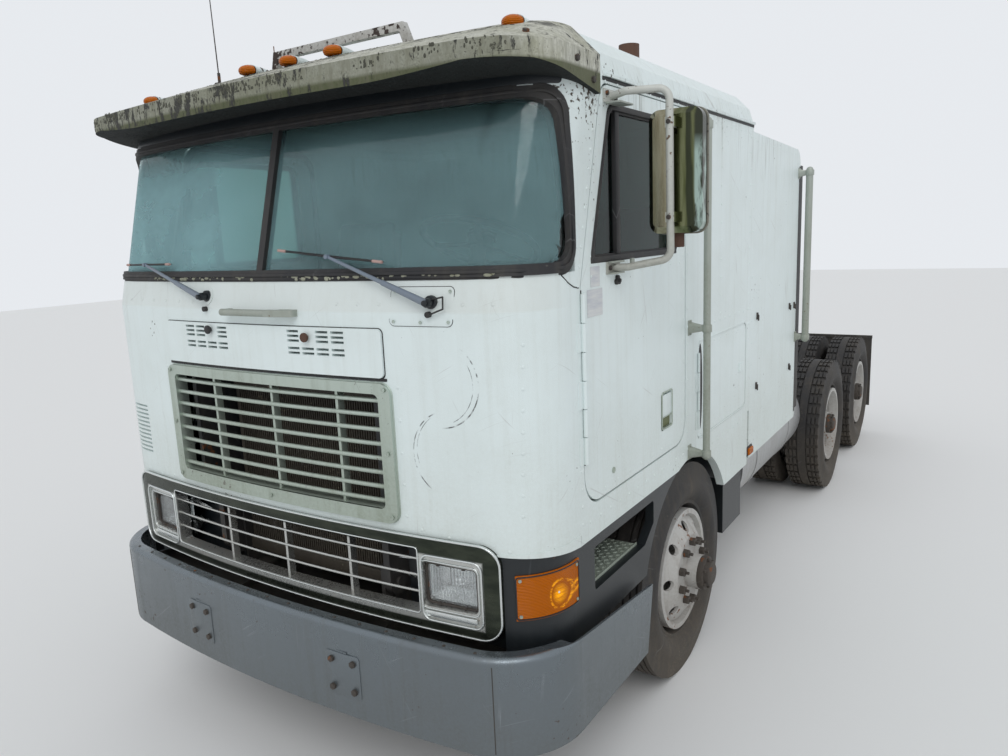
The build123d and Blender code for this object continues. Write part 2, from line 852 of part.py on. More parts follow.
for side, word in ((1, "left"), (-1, "right")):
    span = sorted((side * (door_skin_x - door_thick), side * door_skin_x))
    pane = sorted(side * (door_skin_x - depth) for depth in glass_depth)
    dish = sorted((side * (door_skin_x - paddle_depth), side * (door_skin_x + 1)))
    grip = sorted((side * (door_skin_x - paddle_depth), side * (door_skin_x - 2)))

    with BuildPart() as door:
        add(side_plate(door_corners, door_radii, span[0], span[1]))
        add(side_plate(window_corners, window_radii, -far, far), mode=Mode.SUBTRACT)
        add(side_plate(paddle, [14.0] * 4, dish[0], dish[1]), mode=Mode.SUBTRACT)
        add(block(grip, grip_y, grip_z))
        add(side_block(side, (door_skin_x - 36, door_skin_x - 8), division, division_z))
        add(hinge_half(door_hinge, side, 1))
    door.part.label = f"door_{word}"
    export_step(door.part, f"parts/door_{word}.step")

    with BuildPart() as door_glass:
        add(side_plate(window_corners, window_radii, pane[0], pane[1]))
        add(door.part, mode=Mode.SUBTRACT)
    door_glass.part.label = f"door_glass_{word}"
    export_step(door_glass.part, f"parts/door_glass_{word}.step")

    arm_x = side * mirror_x
    foot_x = side * (door_skin_x + 1)
    with BuildPart() as mirror_set:
        add(
            tube_run(
                [
                    (foot_x, nose + 640, 2560),
                    (side * 1200, nose + 640, 2572),
                    (arm_x, nose + 672, 2568),
                    (arm_x, nose + 680, 2010),
                    (side * 1200, nose + 640, 1985),
                    (foot_x, nose + 632, 1985),
                ],
                mirror_tube,
                mirror_bend,
            )
        )
        for z in mirror_feet:
            add(side_block(side, (door_skin_x, door_skin_x + 6), mirror_foot_y, (z - 22, z + 22)))
    with BuildPart() as mirror_head:
        with Locations((arm_x, mirror_head_y, mirror_head_z)):
            Box(*mirror_head_size)
        fillet(mirror_head.edges().filter_by(Axis.Y), mirror_head_size[1] / 2)
        chamfer(mirror_head.faces().sort_by(Axis.Y)[0].edges(), 22)
    with BuildPart() as mirror_node:
        add(mirror_set.part)
        add(mirror_head.part)
        for z in mirror_clamps:
            with Locations((arm_x, nose + 695, z)):
                Box(*clamp_size)
        add(door.part, mode=Mode.SUBTRACT)
    mirror_node.part.label = f"mirror_{word}"
    export_step(mirror_node.part, f"parts/mirror_{word}.step")

    hatch = sorted((side * (door_skin_x - hatch_thick), side * door_skin_x))
    with BuildPart() as luggage_door:
        add(side_plate(luggage_corners, [luggage_radius] * 4, hatch[0], hatch[1]))
        with Locations((side * (door_skin_x + 2), *latch[:2])):
            Box(*latch[2])
        add(hinge_half(hatch_hinge, side, 1))
    luggage_door.part.label = f"luggage_door_{word}"
    export_step(luggage_door.part, f"parts/luggage_door_{word}.step")

# Side gap fairings behind the cab, with a rubber edge
fairing_x = (1112.0, 1142.0)
fairing_rear = nose + 3490
fairing_profile = [
    (cab_rear, 800.0),
    (fairing_rear, 800.0),
    (fairing_rear, 2560.0),
    (cab_rear, 2590.0),
]
fairing_radii = [1.0, 30.0, 90.0, 1.0]
rubber_x = (1120.0, 1132.0)
rubber_y = (fairing_rear - 40, nose + 3600)
rubber_z = (850.0, 2470.0)
with BuildPart() as side_fairings:
    for side in (-1, 1):
        skin = sorted((side * fairing_x[0], side * fairing_x[1]))
        add(side_plate(fairing_profile, fairing_radii, *skin))
        add(side_block(side, rubber_x, rubber_y, rubber_z))
side_fairings.part.label = "side_fairings"
export_step(side_fairings.part, "parts/side_fairings.step")

# Grab rails: a pole behind each door and one at each fairing's rear edge, and a handle on the nose
# Columns: x, y, low z, high z, radius, heights of the feet, x where the feet start
poles = [
    (1225.0, nose + 1418, 1088.0, 2545.0, 16.0, (1100.0, 1672.0, 2530.0), cab_half_width),
    (1208.0, nose + 3452, 1345.0, 2430.0, 22.0, (1358.0, 2417.0), fairing_x[1]),
]
handle_x = (-157.0, 217.0)
handle_z = 1874.0
handle_radius = 13.0
handle_reach = 32.0
bracket_x = 92.0
with BuildPart() as grab_rails:
    for x, y, low, high, radius, feet, foot_x in poles:
        for side in (-1, 1):
            with Locations((side * x, y, (low + high) / 2)):
                Cylinder(radius, high - low)
            for z in feet:
                add(side_block(side, (foot_x, x), (y - 14, y + 14), (z - 9, z + 9)))
    middle = (handle_x[0] + bracket_x) / 2
    add(disc(handle_radius, bracket_x - handle_x[0], (middle, nose - handle_reach, handle_z), (1, 0, 0)))
    handle_end = (handle_x[0], handle_x[0] + 22)
    add(block(handle_end, (nose - handle_reach, nose + 20), (handle_z - 11, handle_z + 11)))
    with BuildSketch(Plane.XY.offset(handle_z - 12)):
        with BuildLine():
            FilletPolyline(
                (bracket_x - 8, nose - handle_reach - 14),
                (handle_x[1], nose - 26),
                (handle_x[1], nose + 20),
                (bracket_x + 40, nose + 20),
                (bracket_x + 40, nose - handle_reach + 20),
                (bracket_x - 8, nose - handle_reach + 14),
                radius=[8.0, 14.0, 0.5, 0.5, 6.0, 4.0],
                close=True,
            )
        make_face()
    extrude(amount=24)
    add(nose_panel.part, mode=Mode.SUBTRACT)
    add(inner, mode=Mode.SUBTRACT)
grab_rails.part.label = "grab_rails"
export_step(grab_rails.part, "parts/grab_rails.step")

# Wipers. Columns: pivot x, pivot z, blade's two ends as (x, z)
wiper_rows = [
    (787.0, 1915.0, 90.0, 2092.0, 600.0, 2040.0),
    (-300.0, 1929.0, -950.0, 2052.0, -560.0, 2052.0),
]


def screen_y(x, z, out):
    """Y of the windscreen's outer surface at a place on its bowed front."""
    return nose + (z - crease) * math.tan(rake) + x * x / (2 * bow_radius) - out


with BuildPart() as wipers:
    for pivot_x, pivot_z, near_x, near_z, far_x, far_z in wiper_rows:
        hub_y = screen_y(pivot_x, pivot_z, 0)
        add(disc(20, 60, (pivot_x, hub_y - 22, pivot_z), (0, 1, 0)))
        mid = ((near_x + far_x) / 2, (near_z + far_z) / 2)
        arm_tip = (mid[0], screen_y(mid[0], mid[1], 38), mid[1])
        with BuildLine() as arm_path:
            Line((pivot_x, hub_y - 42, pivot_z), arm_tip)
        with BuildSketch(arm_path.line ^ 0):
            Rectangle(16, 16)
        sweep()
        ends = [(x, screen_y(x, z, 22), z) for x, z in ((near_x, near_z), (far_x, far_z))]
        centre = (mid[0], screen_y(mid[0], mid[1], 24), mid[1])
        for end in ends:
            with BuildLine() as blade_path:
                Line(centre, end)
            with BuildSketch(blade_path.line ^ 0):
                Rectangle(14, 14)
            sweep()
        with Locations(centre):
            Box(30, 34, 30)
    add(nose_panel.part, mode=Mode.SUBTRACT)
    add(seal_inner, mode=Mode.SUBTRACT)
    add(windscreen_seal.part, mode=Mode.SUBTRACT)
    add(windscreen_glass.part, mode=Mode.SUBTRACT)
wipers.part.label = "wipers"
export_step(wipers.part, "parts/wipers.step")

# Frame: two channel rails, cross members, and the front brackets with the cab's pivot pins
rail_in = rail_x - rail_flange
horn_x = (rail_x - 60, rail_x)
horn_low = 560.0
horn_top = 678.0
pivot_plate_y = (tilt_y - 42, tilt_y + 130)
pivot_plate_z = (796.0, 930.0)
pin_length = ear_x[1] + 7 - rail_x
fifth_y = nose + 5100
fifth_z = 1112.0
fifth_pin = 25.0
saddle_y = (nose + 4880, nose + 5320)
cheek_x = (310.0, 345.0)
cheek_top = 1140.0
# Columns: distance behind the nose, length along Y, low z, high z
cross_rows = [
    (560, 80, 640, rail_low),
    (2720, 90, 835, 950),
    (3980, 90, 780, 950),
    (5200, 160, 780, 950),
    (6560, 60, 740, 970),
]
rail_shape = [
    (rail_x, rail_low),
    (rail_x, rail_top),
    (rail_in, rail_top),
    (rail_in, rail_top - rail_web),
    (rail_x - rail_web, rail_top - rail_web),
    (rail_x - rail_web, rail_low + rail_web),
    (rail_in, rail_low + rail_web),
    (rail_in, rail_low),
]
with BuildPart() as frame_rails:
    with BuildSketch(Plane.XZ.offset(-rail_front)):
        for side in (-1, 1):
            with BuildLine():
                Polyline(*[(side * x, z) for x, z in rail_shape], close=True)
            make_face()
    extrude(amount=-(rail_rear - rail_front))
    for back, length, low, high in cross_rows:
        half = rail_x - rail_web + 1 if low > rail_low else rail_x
        add(block((-half, half), (nose + back - length / 2, nose + back + length / 2), (low, high)))
    for side in (-1, 1):
        add(side_block(side, (rail_x, rail_x + 18), pivot_plate_y, pivot_plate_z))
        add(side_block(side, horn_x, (rail_front, rail_front + 250), (horn_low, rail_low)))
        add(side_block(side, horn_x, (nose - 40, rail_front), (horn_low, horn_top)))
        pin_middle = (side * (rail_x + 5 + pin_length / 2), tilt_y, tilt_z)
        add(disc(pivot_radius, pin_length, pin_middle, (1, 0, 0)))
        add(side_block(side, (300, rail_x), saddle_y, (rail_top, rail_top + 30)))
        cheek = sorted(side * x for x in cheek_x)
        with BuildSketch(Plane.YZ.offset(cheek[0])):
            with BuildLine():
                Polyline(
                    (fifth_y - 140, rail_top + 25),
                    (fifth_y + 140, rail_top + 25),
                    (fifth_y + 35, cheek_top),
                    (fifth_y - 35, cheek_top),
                    close=True,
                )
            make_face()
        extrude(amount=cheek[1] - cheek[0])
        add(disc(fifth_pin, 95, (side * 297, fifth_y, fifth_z), (1, 0, 0)))
frame_rails.part.label = "frame_rails"
export_step(frame_rails.part, "parts/frame_rails.step")

# Fifth wheel plate: a horseshoe with a throat, jaws round the kingpin bore, and two ears on the pins
plate_z = (1168.0, 1213.0)
kingpin_bore = 25.6
lug_x = (262.0, 304.0)
lug_radius = 45.0
with BuildPart() as fifth_wheel_plate:
    with BuildSketch(Plane.XY.offset(plate_z[0])):
        with BuildLine():
            Polyline(
                (-300, fifth_y - 400),
                (300, fifth_y - 400),
                (460, fifth_y - 150),
                (460, fifth_y + 180),
                (230, fifth_y + 500),
                (150, fifth_y + 500),
                (40, fifth_y + 70),
                (-40, fifth_y + 70),
                (-150, fifth_y + 500),
                (-230, fifth_y + 500),
                (-460, fifth_y + 180),
                (-460, fifth_y - 150),
                close=True,
            )
        make_face()
        with Locations((0, fifth_y)):
            Circle(kingpin_bore, mode=Mode.SUBTRACT)
    extrude(amount=plate_z[1] - plate_z[0])
    for side in (-1, 1):
        lug_y = (fifth_y - lug_radius, fifth_y + lug_radius)
        add(side_block(side, lug_x, lug_y, (fifth_z, plate_z[0] + 5)))
        add(disc(lug_radius, lug_x[1] - lug_x[0], (side * sum(lug_x) / 2, fifth_y, fifth_z), (1, 0, 0)))
    for side in (-1, 1):
        add(
            disc(fifth_pin + running_gap, 120, (side * 297, fifth_y, fifth_z), (1, 0, 0)),
            mode=Mode.SUBTRACT,
        )
fifth_wheel_plate.part.label = "fifth_wheel_plate"
export_step(fifth_wheel_plate.part, "parts/fifth_wheel_plate.step")

# Bumper: bowed, rolled over at the top, wrapped round both corners, ends cut on a slant
bumper_half = 1195.0
bumper_front = nose - 120
bumper_z = (425.0, 780.0)
bumper_roll = 22.0
bumper_rear = nose + 900
bumper_corner = 300.0
bumper_wall = 9.0
bumper_lip = 52.0
with BuildPart() as bumper_form:
    add(plan(bumper_z[0], bumper_front, bumper_rear, bumper_half, bumper_corner))
    extrude(amount=bumper_z[1] - bumper_z[0])
    fillet(bumper_form.faces().sort_by(Axis.Z)[-1].edges().filter_by(GeomType.CIRCLE), bumper_roll)
with BuildPart() as front_bumper:
    add(bumper_form.part)
    add(plan(bumper_z[0] - 5, bumper_front, bumper_rear, bumper_half, bumper_corner, bumper_wall))
    extrude(amount=bumper_z[1] - bumper_z[0] - 4, mode=Mode.SUBTRACT)
    add(plan(bumper_z[0] - 5, bumper_front, bumper_rear, bumper_half, bumper_corner, bumper_lip))
    extrude(amount=bumper_z[1] - bumper_z[0] + 20, mode=Mode.SUBTRACT)
    rear_cut = [
        (nose + 100, 900.0),
        (nose + 100, bumper_z[1] + 1),
        (nose + 860, 700.0),
        (nose + 815, 480.0),
        (nose + 780, 300.0),
        (nose + 1200, 300.0),
        (nose + 1200, 900.0),
    ]
    add(side_plate(rear_cut, [0.5] * 7, -far, far), mode=Mode.SUBTRACT)
    for side in (-1, 1):
        add(side_block(side, horn_x, (nose - 110, nose - 40), (horn_low + 10, horn_top)))
front_bumper.part.label = "front_bumper"
export_step(front_bumper.part, "parts/front_bumper.step")

with BuildPart() as radiator:
    add(block((-430, 430), (nose + 200, nose + 290), (1000, 1590)))
    add(block((-330, 330), (nose + 200, nose + 290), (790, 1000)))
    for x in (-390, 390):
        add(block((x - 20, x + 20), (nose + 220, nose + 270), (rail_top, 1000)))
radiator.part.label = "radiator"
export_step(radiator.part, "parts/radiator.step")

with BuildPart() as engine:
    add(block((-335, 335), (nose + 760, nose + 1900), (740, 1470)))
    add(block((-250, 250), (nose + 900, nose + 1800), (625, 740)))
    add(block((-230, 230), (nose + 1900, nose + 2560), (660, 1040)))
    for side in (-1, 1):
        for back in (860, 1800):
            along = (nose + back - 50, nose + back + 50)
            add(side_block(side, (330, rail_x - rail_web), along, (rail_low + rail_web, 800)))
engine.part.label = "engine"
export_step(engine.part, "parts/engine.step")


def shaft(start, end, radius):
    direction = Vector(*end) - Vector(*start)
    middle = tuple((a + b) / 2 for a, b in zip(start, end))
    return disc(radius, direction.length, middle, tuple(direction))


drive_z = 560.0
shaft_start = (0, nose + 2560, 760)
with BuildPart() as propeller_shafts:
    add(shaft(shaft_start, (0, axle_rear[0] - 300, drive_z), 50))
    add(shaft((0, axle_rear[0] + 250, drive_z), (0, axle_rear[1] - 300, drive_z), 42))
    add(block((-60, 60), (nose + 2561, nose + 2640), (700, 820)))
    add(engine.part, mode=Mode.SUBTRACT)

# Drive axles: a tube with a round housing in the middle and a spindle at each end
axle_tube = 72.0
axle_tube_length = 1180.0
axle_spindle = 45.0
axle_length = 2330.0
housing = 205.0
hub_bore = axle_spindle + running_gap
with BuildPart() as drive_axles:
    for y in axle_rear:
        add(disc(axle_tube, axle_tube_length, (0, y, tyre_radius), (1, 0, 0)))
        add(disc(axle_spindle, axle_length, (0, y, tyre_radius), (1, 0, 0)))
        with Locations((0, y, tyre_radius)):
            Sphere(housing)
        add(disc(95, 60, (0, y - 270, drive_z), (0, 1, 0)))
        add(disc(80, 160, (0, y - 190, drive_z), (0, 1, 0)))
        add(disc(60, 130, (0, y + 185, drive_z), (0, 1, 0)))
drive_axles.part.label = "drive_axles"
export_step(drive_axles.part, "parts/drive_axles.step")

with BuildPart() as shafts_clear:
    add(propeller_shafts.part)
    add(drive_axles.part, mode=Mode.SUBTRACT)
shafts_clear.part.label = "propeller_shafts"
export_step(shafts_clear.part, "parts/propeller_shafts.step")


def leaf_pack(y, half, eye_z, top_z, low_z, x_span, lift=12):
    """A pack of leaves seen from the side: two arcs, thick at the middle and thin at the eyes."""
    with BuildPart() as pack:
        with BuildSketch(Plane.YZ.offset(x_span[0])):
            with BuildLine():
                ThreePointArc((y - half, eye_z), (y, top_z), (y + half, eye_z))
                Line((y + half, eye_z), (y + half, eye_z - lift))
                ThreePointArc((y + half, eye_z - lift), (y, low_z), (y - half, eye_z - lift))
                Line((y - half, eye_z - lift), (y - half, eye_z))
            make_face()
        extrude(amount=x_span[1] - x_span[0])
    return pack.part


spring_x = (355.0, 425.0)
with BuildPart() as rear_suspension:
    for side in (-1, 1):
        span = sorted((side * spring_x[0], side * spring_x[1]))
        for y in axle_rear:
            add(leaf_pack(y, 520, 690, 660, 592, span))
            add(block((span[0], span[1]), (y - 70, y + 70), (560, 610)))
        for y in (axle_rear[0] - 520, (axle_rear[0] + axle_rear[1]) / 2, axle_rear[1] + 520):
            add(block((span[0], span[1]), (y - 45, y + 45), (640, rail_low)))
        middle = (axle_rear[0] + axle_rear[1]) / 2
        add(block((span[0], span[1]), (middle - 150, middle + 150), (676, 700)))
    for y in axle_rear:
        add(disc(axle_tube, axle_tube_length, (0, y, tyre_radius), (1, 0, 0)), mode=Mode.SUBTRACT)
        with Locations((0, y, tyre_radius)):
            Sphere(housing, mode=Mode.SUBTRACT)
rear_suspension.part.label = "rear_suspension"
export_step(rear_suspension.part, "parts/rear_suspension.step")

# Front axle: a dropped beam with a fork end at each kingpin, on its leaf springs
beam_shape = [
    (-800, 470), (-640, 470), (-470, 375), (470, 375), (640, 470), (800, 470),
    (800, 550), (620, 550), (450, 460), (-450, 460), (-620, 550), (-800, 550),
]
king_radius = 22.0
with BuildPart() as front_axle:
    with BuildSketch(Plane.XZ.offset(-(axle_front - 45))):
        with BuildLine():
            Polyline(*beam_shape, close=True)
        make_face()
    extrude(amount=-90)
    for side in (-1, 1):
        with Locations((side * kingpin_x, axle_front, tyre_radius)):
            Cylinder(45, 150)
            Cylinder(king_radius, 240)
        web = sorted((side * 780, side * kingpin_x))
        add(block((web[0], web[1]), (axle_front - 35, axle_front + 35), (470, 550)))
        span = sorted((side * spring_x[0], side * spring_x[1]))
        add(leaf_pack(axle_front, 650, 690, 520, 462, span))
        add(block((span[0], span[1]), (axle_front - 45, axle_front + 45), (450, 480)))
        for y in (axle_front - 640, axle_front + 640):
            add(block((span[0], span[1]), (y - 35, y + 35), (660, rail_low)))
front_axle.part.label = "front_axle"
export_step(front_axle.part, "parts/front_axle.step")

# Knuckles and front wheels
spindle = 34.0
fork_gap = 78.0
for side, word in ((1, "left"), (-1, "right")):
    king = (side * kingpin_x, axle_front, tyre_radius)
    with BuildPart() as knuckle:
        for z in (-1, 1):
            with Locations((king[0], king[1], king[2] + z * (fork_gap + 17))):
                Cylinder(42, 34)
            arm = sorted((king[0], king[0] + side * 72))
            add(
                block(
                    (arm[0], arm[1]),
                    (axle_front - 40, axle_front + 40),
                    tuple(sorted((tyre_radius + z * fork_gap, tyre_radius + z * (fork_gap + 34)))),
                )
            )
        plate_x = sorted((king[0] + side * 52, king[0] + side * 72))
        add(block((plate_x[0], plate_x[1]), (axle_front - 60, axle_front + 60), (398, 622)))
        add(disc(spindle, 250, (king[0] + side * 185, axle_front, tyre_radius), (1, 0, 0)))
        with Locations((king[0], king[1], king[2])):
            Cylinder(king_radius + running_gap, 260, mode=Mode.SUBTRACT)
    knuckle.part.label = f"knuckle_{word}"
    export_step(knuckle.part, f"parts/knuckle_{word}.step")

# Tyre section: distance from the middle plane, and radius, from one bead over the tread to the other
tyre_rows = [
    (-105.0, rim_radius + 4),
    (-141.0, 400.0),
    (-118.0, tyre_radius),
    (118.0, tyre_radius),
    (141.0, 400.0),
    (105.0, rim_radius + 4),
]
tyre_sides = 36
bead_gap = 1.0


def tyre(x, y):
    """A tyre made of flats round its axle, one of them at the bottom."""
    flat_down = 180 / tyre_sides
    with BuildPart() as casing:
        for out, radius in tyre_rows:
            with BuildSketch(Plane(origin=(x + out, y, tyre_radius), x_dir=(0, 1, 0), z_dir=(1, 0, 0))):
                RegularPolygon(radius, tyre_sides, major_radius=False, rotation=flat_down)
        loft(ruled=True)
        with BuildSketch(Plane(origin=(x, y, tyre_radius), x_dir=(0, 1, 0), z_dir=(1, 0, 0))):
            RegularPolygon(rim_radius + bead_gap, tyre_sides, major_radius=False, rotation=flat_down)
        extrude(amount=tyre_width, both=True, mode=Mode.SUBTRACT)
    return casing.part


# Rim section: half-width and radius of the barrel, outside then inside
barrel_rows = [(-118, rim_radius), (118, rim_radius), (118, 262), (60, 240), (-60, 240), (-118, 262)]
disc_thick = 12.0
drum_radius = 205.0
drum_wall = 25.0


def ring(x, y, side, rows):
    """A turned ring about the wheel's axle. Rows are distance outwards from x, and radius."""
    with BuildPart() as turned:
        with BuildSketch(Plane.XZ.offset(-y)):
            with BuildLine():
                Polyline(*[(x + side * w, tyre_radius + r) for w, r in rows], close=True)
            make_face()
        revolve(axis=Axis((x, y, tyre_radius), (1, 0, 0)))
    return turned.part


def rim(x, y, side, edge, plane, bore, hub, hub_radius, drum):
    """Barrel, dished and pierced disc, hub and brake drum, as distances outwards from the tyre's middle."""
    dish = math.copysign(disc_thick, plane - edge)
    face = [
        (edge, 256),
        (plane, 172),
        (plane, bore + 5),
        (plane - dish, bore + 5),
        (plane - dish, 166),
        (edge - dish, 250),
    ]
    with BuildPart() as wheel:
        add(ring(x, y, side, barrel_rows))
        add(ring(x, y, side, face))
        with BuildSketch(Plane(origin=(x - side * 250, y, tyre_radius), z_dir=(side, 0, 0))):
            with PolarLocations(212, 8):
                Circle(25)
        extrude(amount=500, mode=Mode.SUBTRACT)
        if hub:
            hub_low, hub_high = hub
            section = [(hub_low, bore), (hub_high, bore), (hub_high, hub_radius), (hub_low, hub_radius)]
            add(ring(x, y, side, section))
        if drum:
            low, high = drum
            inner_radius = drum_radius - drum_wall
            rows = [
                (low, drum_radius),
                (high, drum_radius),
                (high, bore + 5),
                (high - drum_wall, bore + 5),
                (high - drum_wall, inner_radius),
                (low, inner_radius),
            ]
            add(ring(x, y, side, rows))
    return wheel.part


for side, word in ((1, "left"), (-1, "right")):
    x = side * front_wheel_x
    with BuildPart() as tyre_front:
        add(tyre(x, axle_front))
    tyre_front.part.label = f"tyre_front_{word}"
    export_step(tyre_front.part, f"parts/tyre_front_{word}.step")
    with BuildPart() as rim_front:
        add(rim(x, axle_front, side, 95, 150, spindle + running_gap, (-70, 205), 80, (-75, 60)))
    rim_front.part.label = f"rim_front_{word}"
    export_step(rim_front.part, f"parts/rim_front_{word}.step")

    for number, y in enumerate(axle_rear, start=1):
        with BuildPart() as twin_tyres:
            add(tyre(side * outer_twin_x, y))
            add(tyre(side * inner_twin_x, y))
        twin_tyres.part.label = f"twin_tyres_{word}_{number}"
        export_step(twin_tyres.part, f"parts/twin_tyres_{word}_{number}.step")
        with BuildPart() as twin_rims:
            add(rim(side * outer_twin_x, y, side, -95, -153, hub_bore, (-300, 90), 92, None))
            add(rim(side * inner_twin_x, y, side, 95, 165, hub_bore, None, 92, (-110, 140)))
        twin_rims.part.label = f"twin_rims_{word}_{number}"
        export_step(twin_rims.part, f"parts/twin_rims_{word}_{number}.step")

# Fuel tanks on their straps, battery box and air tanks
tank_y = (nose + 2500, nose + 3960)
tank_x = 782.0
tank_z = 700.0
tank_radius = 300.0
with BuildPart() as fuel_tanks:
    for side in (-1, 1):
        middle_y = sum(tank_y) / 2
        add(disc(tank_radius, tank_y[1] - tank_y[0], (side * tank_x, middle_y, tank_z), (0, 1, 0)))
        for y in (tank_y[0] + 330, tank_y[1] - 330):
            add(disc(tank_radius + 5, 60, (side * tank_x, y, tank_z), (0, 1, 0)))
            add(side_block(side, (rail_x, tank_x - 250), (y - 30, y + 30), (730, 960)))
        with Locations((side * tank_x, tank_y[0] + 200, tank_z + tank_radius)):
            Cylinder(45, 50)
fuel_tanks.part.label = "fuel_tanks"
export_step(fuel_tanks.part, "parts/fuel_tanks.step")

with BuildPart() as battery_box:
    for side in (-1, 1):
        add(side_block(side, (rail_x, 1085), (nose + 2110, nose + 2450), (735, 755)))
        add(side_block(side, (520, 1085), (nose + 2115, nose + 2445), (440, 740)))
battery_box.part.label = "battery_box"
export_step(battery_box.part, "parts/battery_box.step")

with BuildPart() as air_tanks:
    for side in (-1, 1):
        add(disc(112, 860, (side * 205, nose + 3420, 590), (0, 1, 0)))
        for y in (nose + 3180, nose + 3660):
            add(side_block(side, (190, 400), (y - 20, y + 20), (660, rail_low)))
air_tanks.part.label = "air_tanks"
export_step(air_tanks.part, "parts/air_tanks.step")

with BuildPart() as deck_plate:
    add(block((-rail_x, rail_x), (nose + 2740, nose + 3950), (rail_top, rail_top + 8)))
deck_plate.part.label = "deck_plate"
export_step(deck_plate.part, "parts/deck_plate.step")

# Exhaust stack behind the cab
stack = (362.0, nose + 2570)
stack_top = 3172.0
stack_pipe = 60.0
silencer = (112.0, 1200.0)
silencer_z = 1850.0
with BuildPart() as exhaust_stack:
    with Locations((*stack, (rail_top + stack_top) / 2)):
        Cylinder(stack_pipe, stack_top - rail_top)
    with Locations((*stack, silencer_z)):
        Cylinder(*silencer)
    add(block((stack[0] - 15, rail_x - 2), (stack[1] - 80, stack[1] + 80), (rail_top, rail_top + 10)))
exhaust_stack.part.label = "exhaust_stack"
export_step(exhaust_stack.part, "parts/exhaust_stack.step")

# Mud flaps on their hangers
with BuildPart() as mud_flaps:
    for side in (-1, 1):
        add(side_block(side, (rail_x, 1212), (nose + 6470, nose + 6495), (930, 960)))
        add(side_block(side, (606, 1210), (nose + 6478, nose + 6487), (250, 935)))
mud_flaps.part.label = "mud_flaps"
export_step(mud_flaps.part, "parts/mud_flaps.step")

with BuildPart() as tail_lamps:
    for x in (-360, -235, 235, 360):
        add(disc(50, 30, (x, rail_rear + 15, 850), (0, 1, 0)))
tail_lamps.part.label = "tail_lamps"
export_step(tail_lamps.part, "parts/tail_lamps.step")
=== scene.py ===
# %% [markdown]
# # A weathered cab-over tractor unit
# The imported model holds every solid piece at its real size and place, in metres: X points to the
# driver's side, Y to the rear and Z up. This lesson adds paint, rubber, glass and rust, and models what
# solids leave out: tyre tread, rivets, lamps, trim, cushions and wear.

# %% Load the frame
import json
import random
from math import asin, atan2, copysign, cos, hypot, pi, radians, sin, sqrt, tan

import bmesh
import bpy
from mathutils import Matrix, Vector


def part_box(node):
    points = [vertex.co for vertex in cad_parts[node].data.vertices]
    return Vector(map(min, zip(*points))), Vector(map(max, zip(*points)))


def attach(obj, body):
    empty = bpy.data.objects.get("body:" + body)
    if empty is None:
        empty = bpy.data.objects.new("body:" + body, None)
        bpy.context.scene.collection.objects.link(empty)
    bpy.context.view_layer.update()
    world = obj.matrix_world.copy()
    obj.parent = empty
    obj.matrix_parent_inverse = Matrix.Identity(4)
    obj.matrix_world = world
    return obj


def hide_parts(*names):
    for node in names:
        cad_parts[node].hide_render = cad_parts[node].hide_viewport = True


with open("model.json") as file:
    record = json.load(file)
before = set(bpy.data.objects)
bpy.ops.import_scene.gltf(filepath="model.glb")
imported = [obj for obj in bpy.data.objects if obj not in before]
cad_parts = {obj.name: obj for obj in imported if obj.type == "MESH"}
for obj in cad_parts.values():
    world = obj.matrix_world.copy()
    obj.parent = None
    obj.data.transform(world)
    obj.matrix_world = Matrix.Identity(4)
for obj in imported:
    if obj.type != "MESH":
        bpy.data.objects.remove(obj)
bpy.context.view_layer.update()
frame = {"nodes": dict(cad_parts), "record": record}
nodes = frame["nodes"]

# %% [markdown]
# ## Places on the truck
# The cab's front face on the centre line is called the nose, and distances behind it are easier to
# read than plain Y values. The front is bowed in plan and leans back above a crease, so one function
# answers where its skin is.

# %% Main places and the cab's skin
NOSE = -3.255
CAB_HALF = 1.145
BOW_RADIUS = 7.08
CORNER_RADIUS = 0.235
TOP_CORNER_RADIUS = 0.18
CREASE_Z = 1.88
GUTTER_Z = 2.62
RAKE = radians(15.6)
TYRE_RADIUS = 0.51
SIDES = ((1, "left"), (-1, "right"))


def back(distance):
    """Y of a place that lies this far behind the nose."""
    return NOSE + distance


def corner_centre(z):
    """Centre and radius of the cab's rounded front corner at a height, and how far its front leans back."""
    way_up = min(1, max(0, (z - CREASE_Z) / (GUTTER_Z - CREASE_Z)))
    radius = CORNER_RADIUS + (TOP_CORNER_RADIUS - CORNER_RADIUS) * way_up
    lean = max(0, z - CREASE_Z) * tan(RAKE)
    x = CAB_HALF - radius
    y = back(lean) + BOW_RADIUS - sqrt((BOW_RADIUS - radius) ** 2 - x**2)
    return x, y, radius, lean


def skin(x, z, out=0):
    """Point on the cab's front at this x and height, moved outwards by out."""
    cx, cy, radius, lean = corner_centre(z)
    side = -1 if x < 0 else 1
    if abs(x) <= cx * BOW_RADIUS / (BOW_RADIUS - radius):
        angle = asin(abs(x) / BOW_RADIUS)
        reach = BOW_RADIUS + out
        return Vector((side * reach * sin(angle), back(lean) + BOW_RADIUS - reach * cos(angle), z))
    angle = asin(min(1, (abs(x) - cx) / radius))
    reach = radius + out
    return Vector((side * (cx + reach * sin(angle)), cy - reach * cos(angle), z))


def skin_normal(x, z):
    """The way that the cab's front faces at this x and height."""
    return (skin(x, z, 0.01) - skin(x, z)).normalized()


print("skin at the centre", skin(0, 1.5), "corner", skin(1.12, 1.5))

# %% [markdown]
# ## The camera
# The photograph was taken from beside the driver's corner with a wide lens. Its measured yaw, pitch and
# roll turn into three axes, which are the camera's matrix.

# %% Camera at the photograph's viewpoint
CAMERA_PLACE = Vector((2.323, -5.119, 2.12))
YAW, PITCH, ROLL = 0.5859, -0.1863, -0.0439
FOCAL_SHARE = 767.16 / 1008
SENSOR = 36

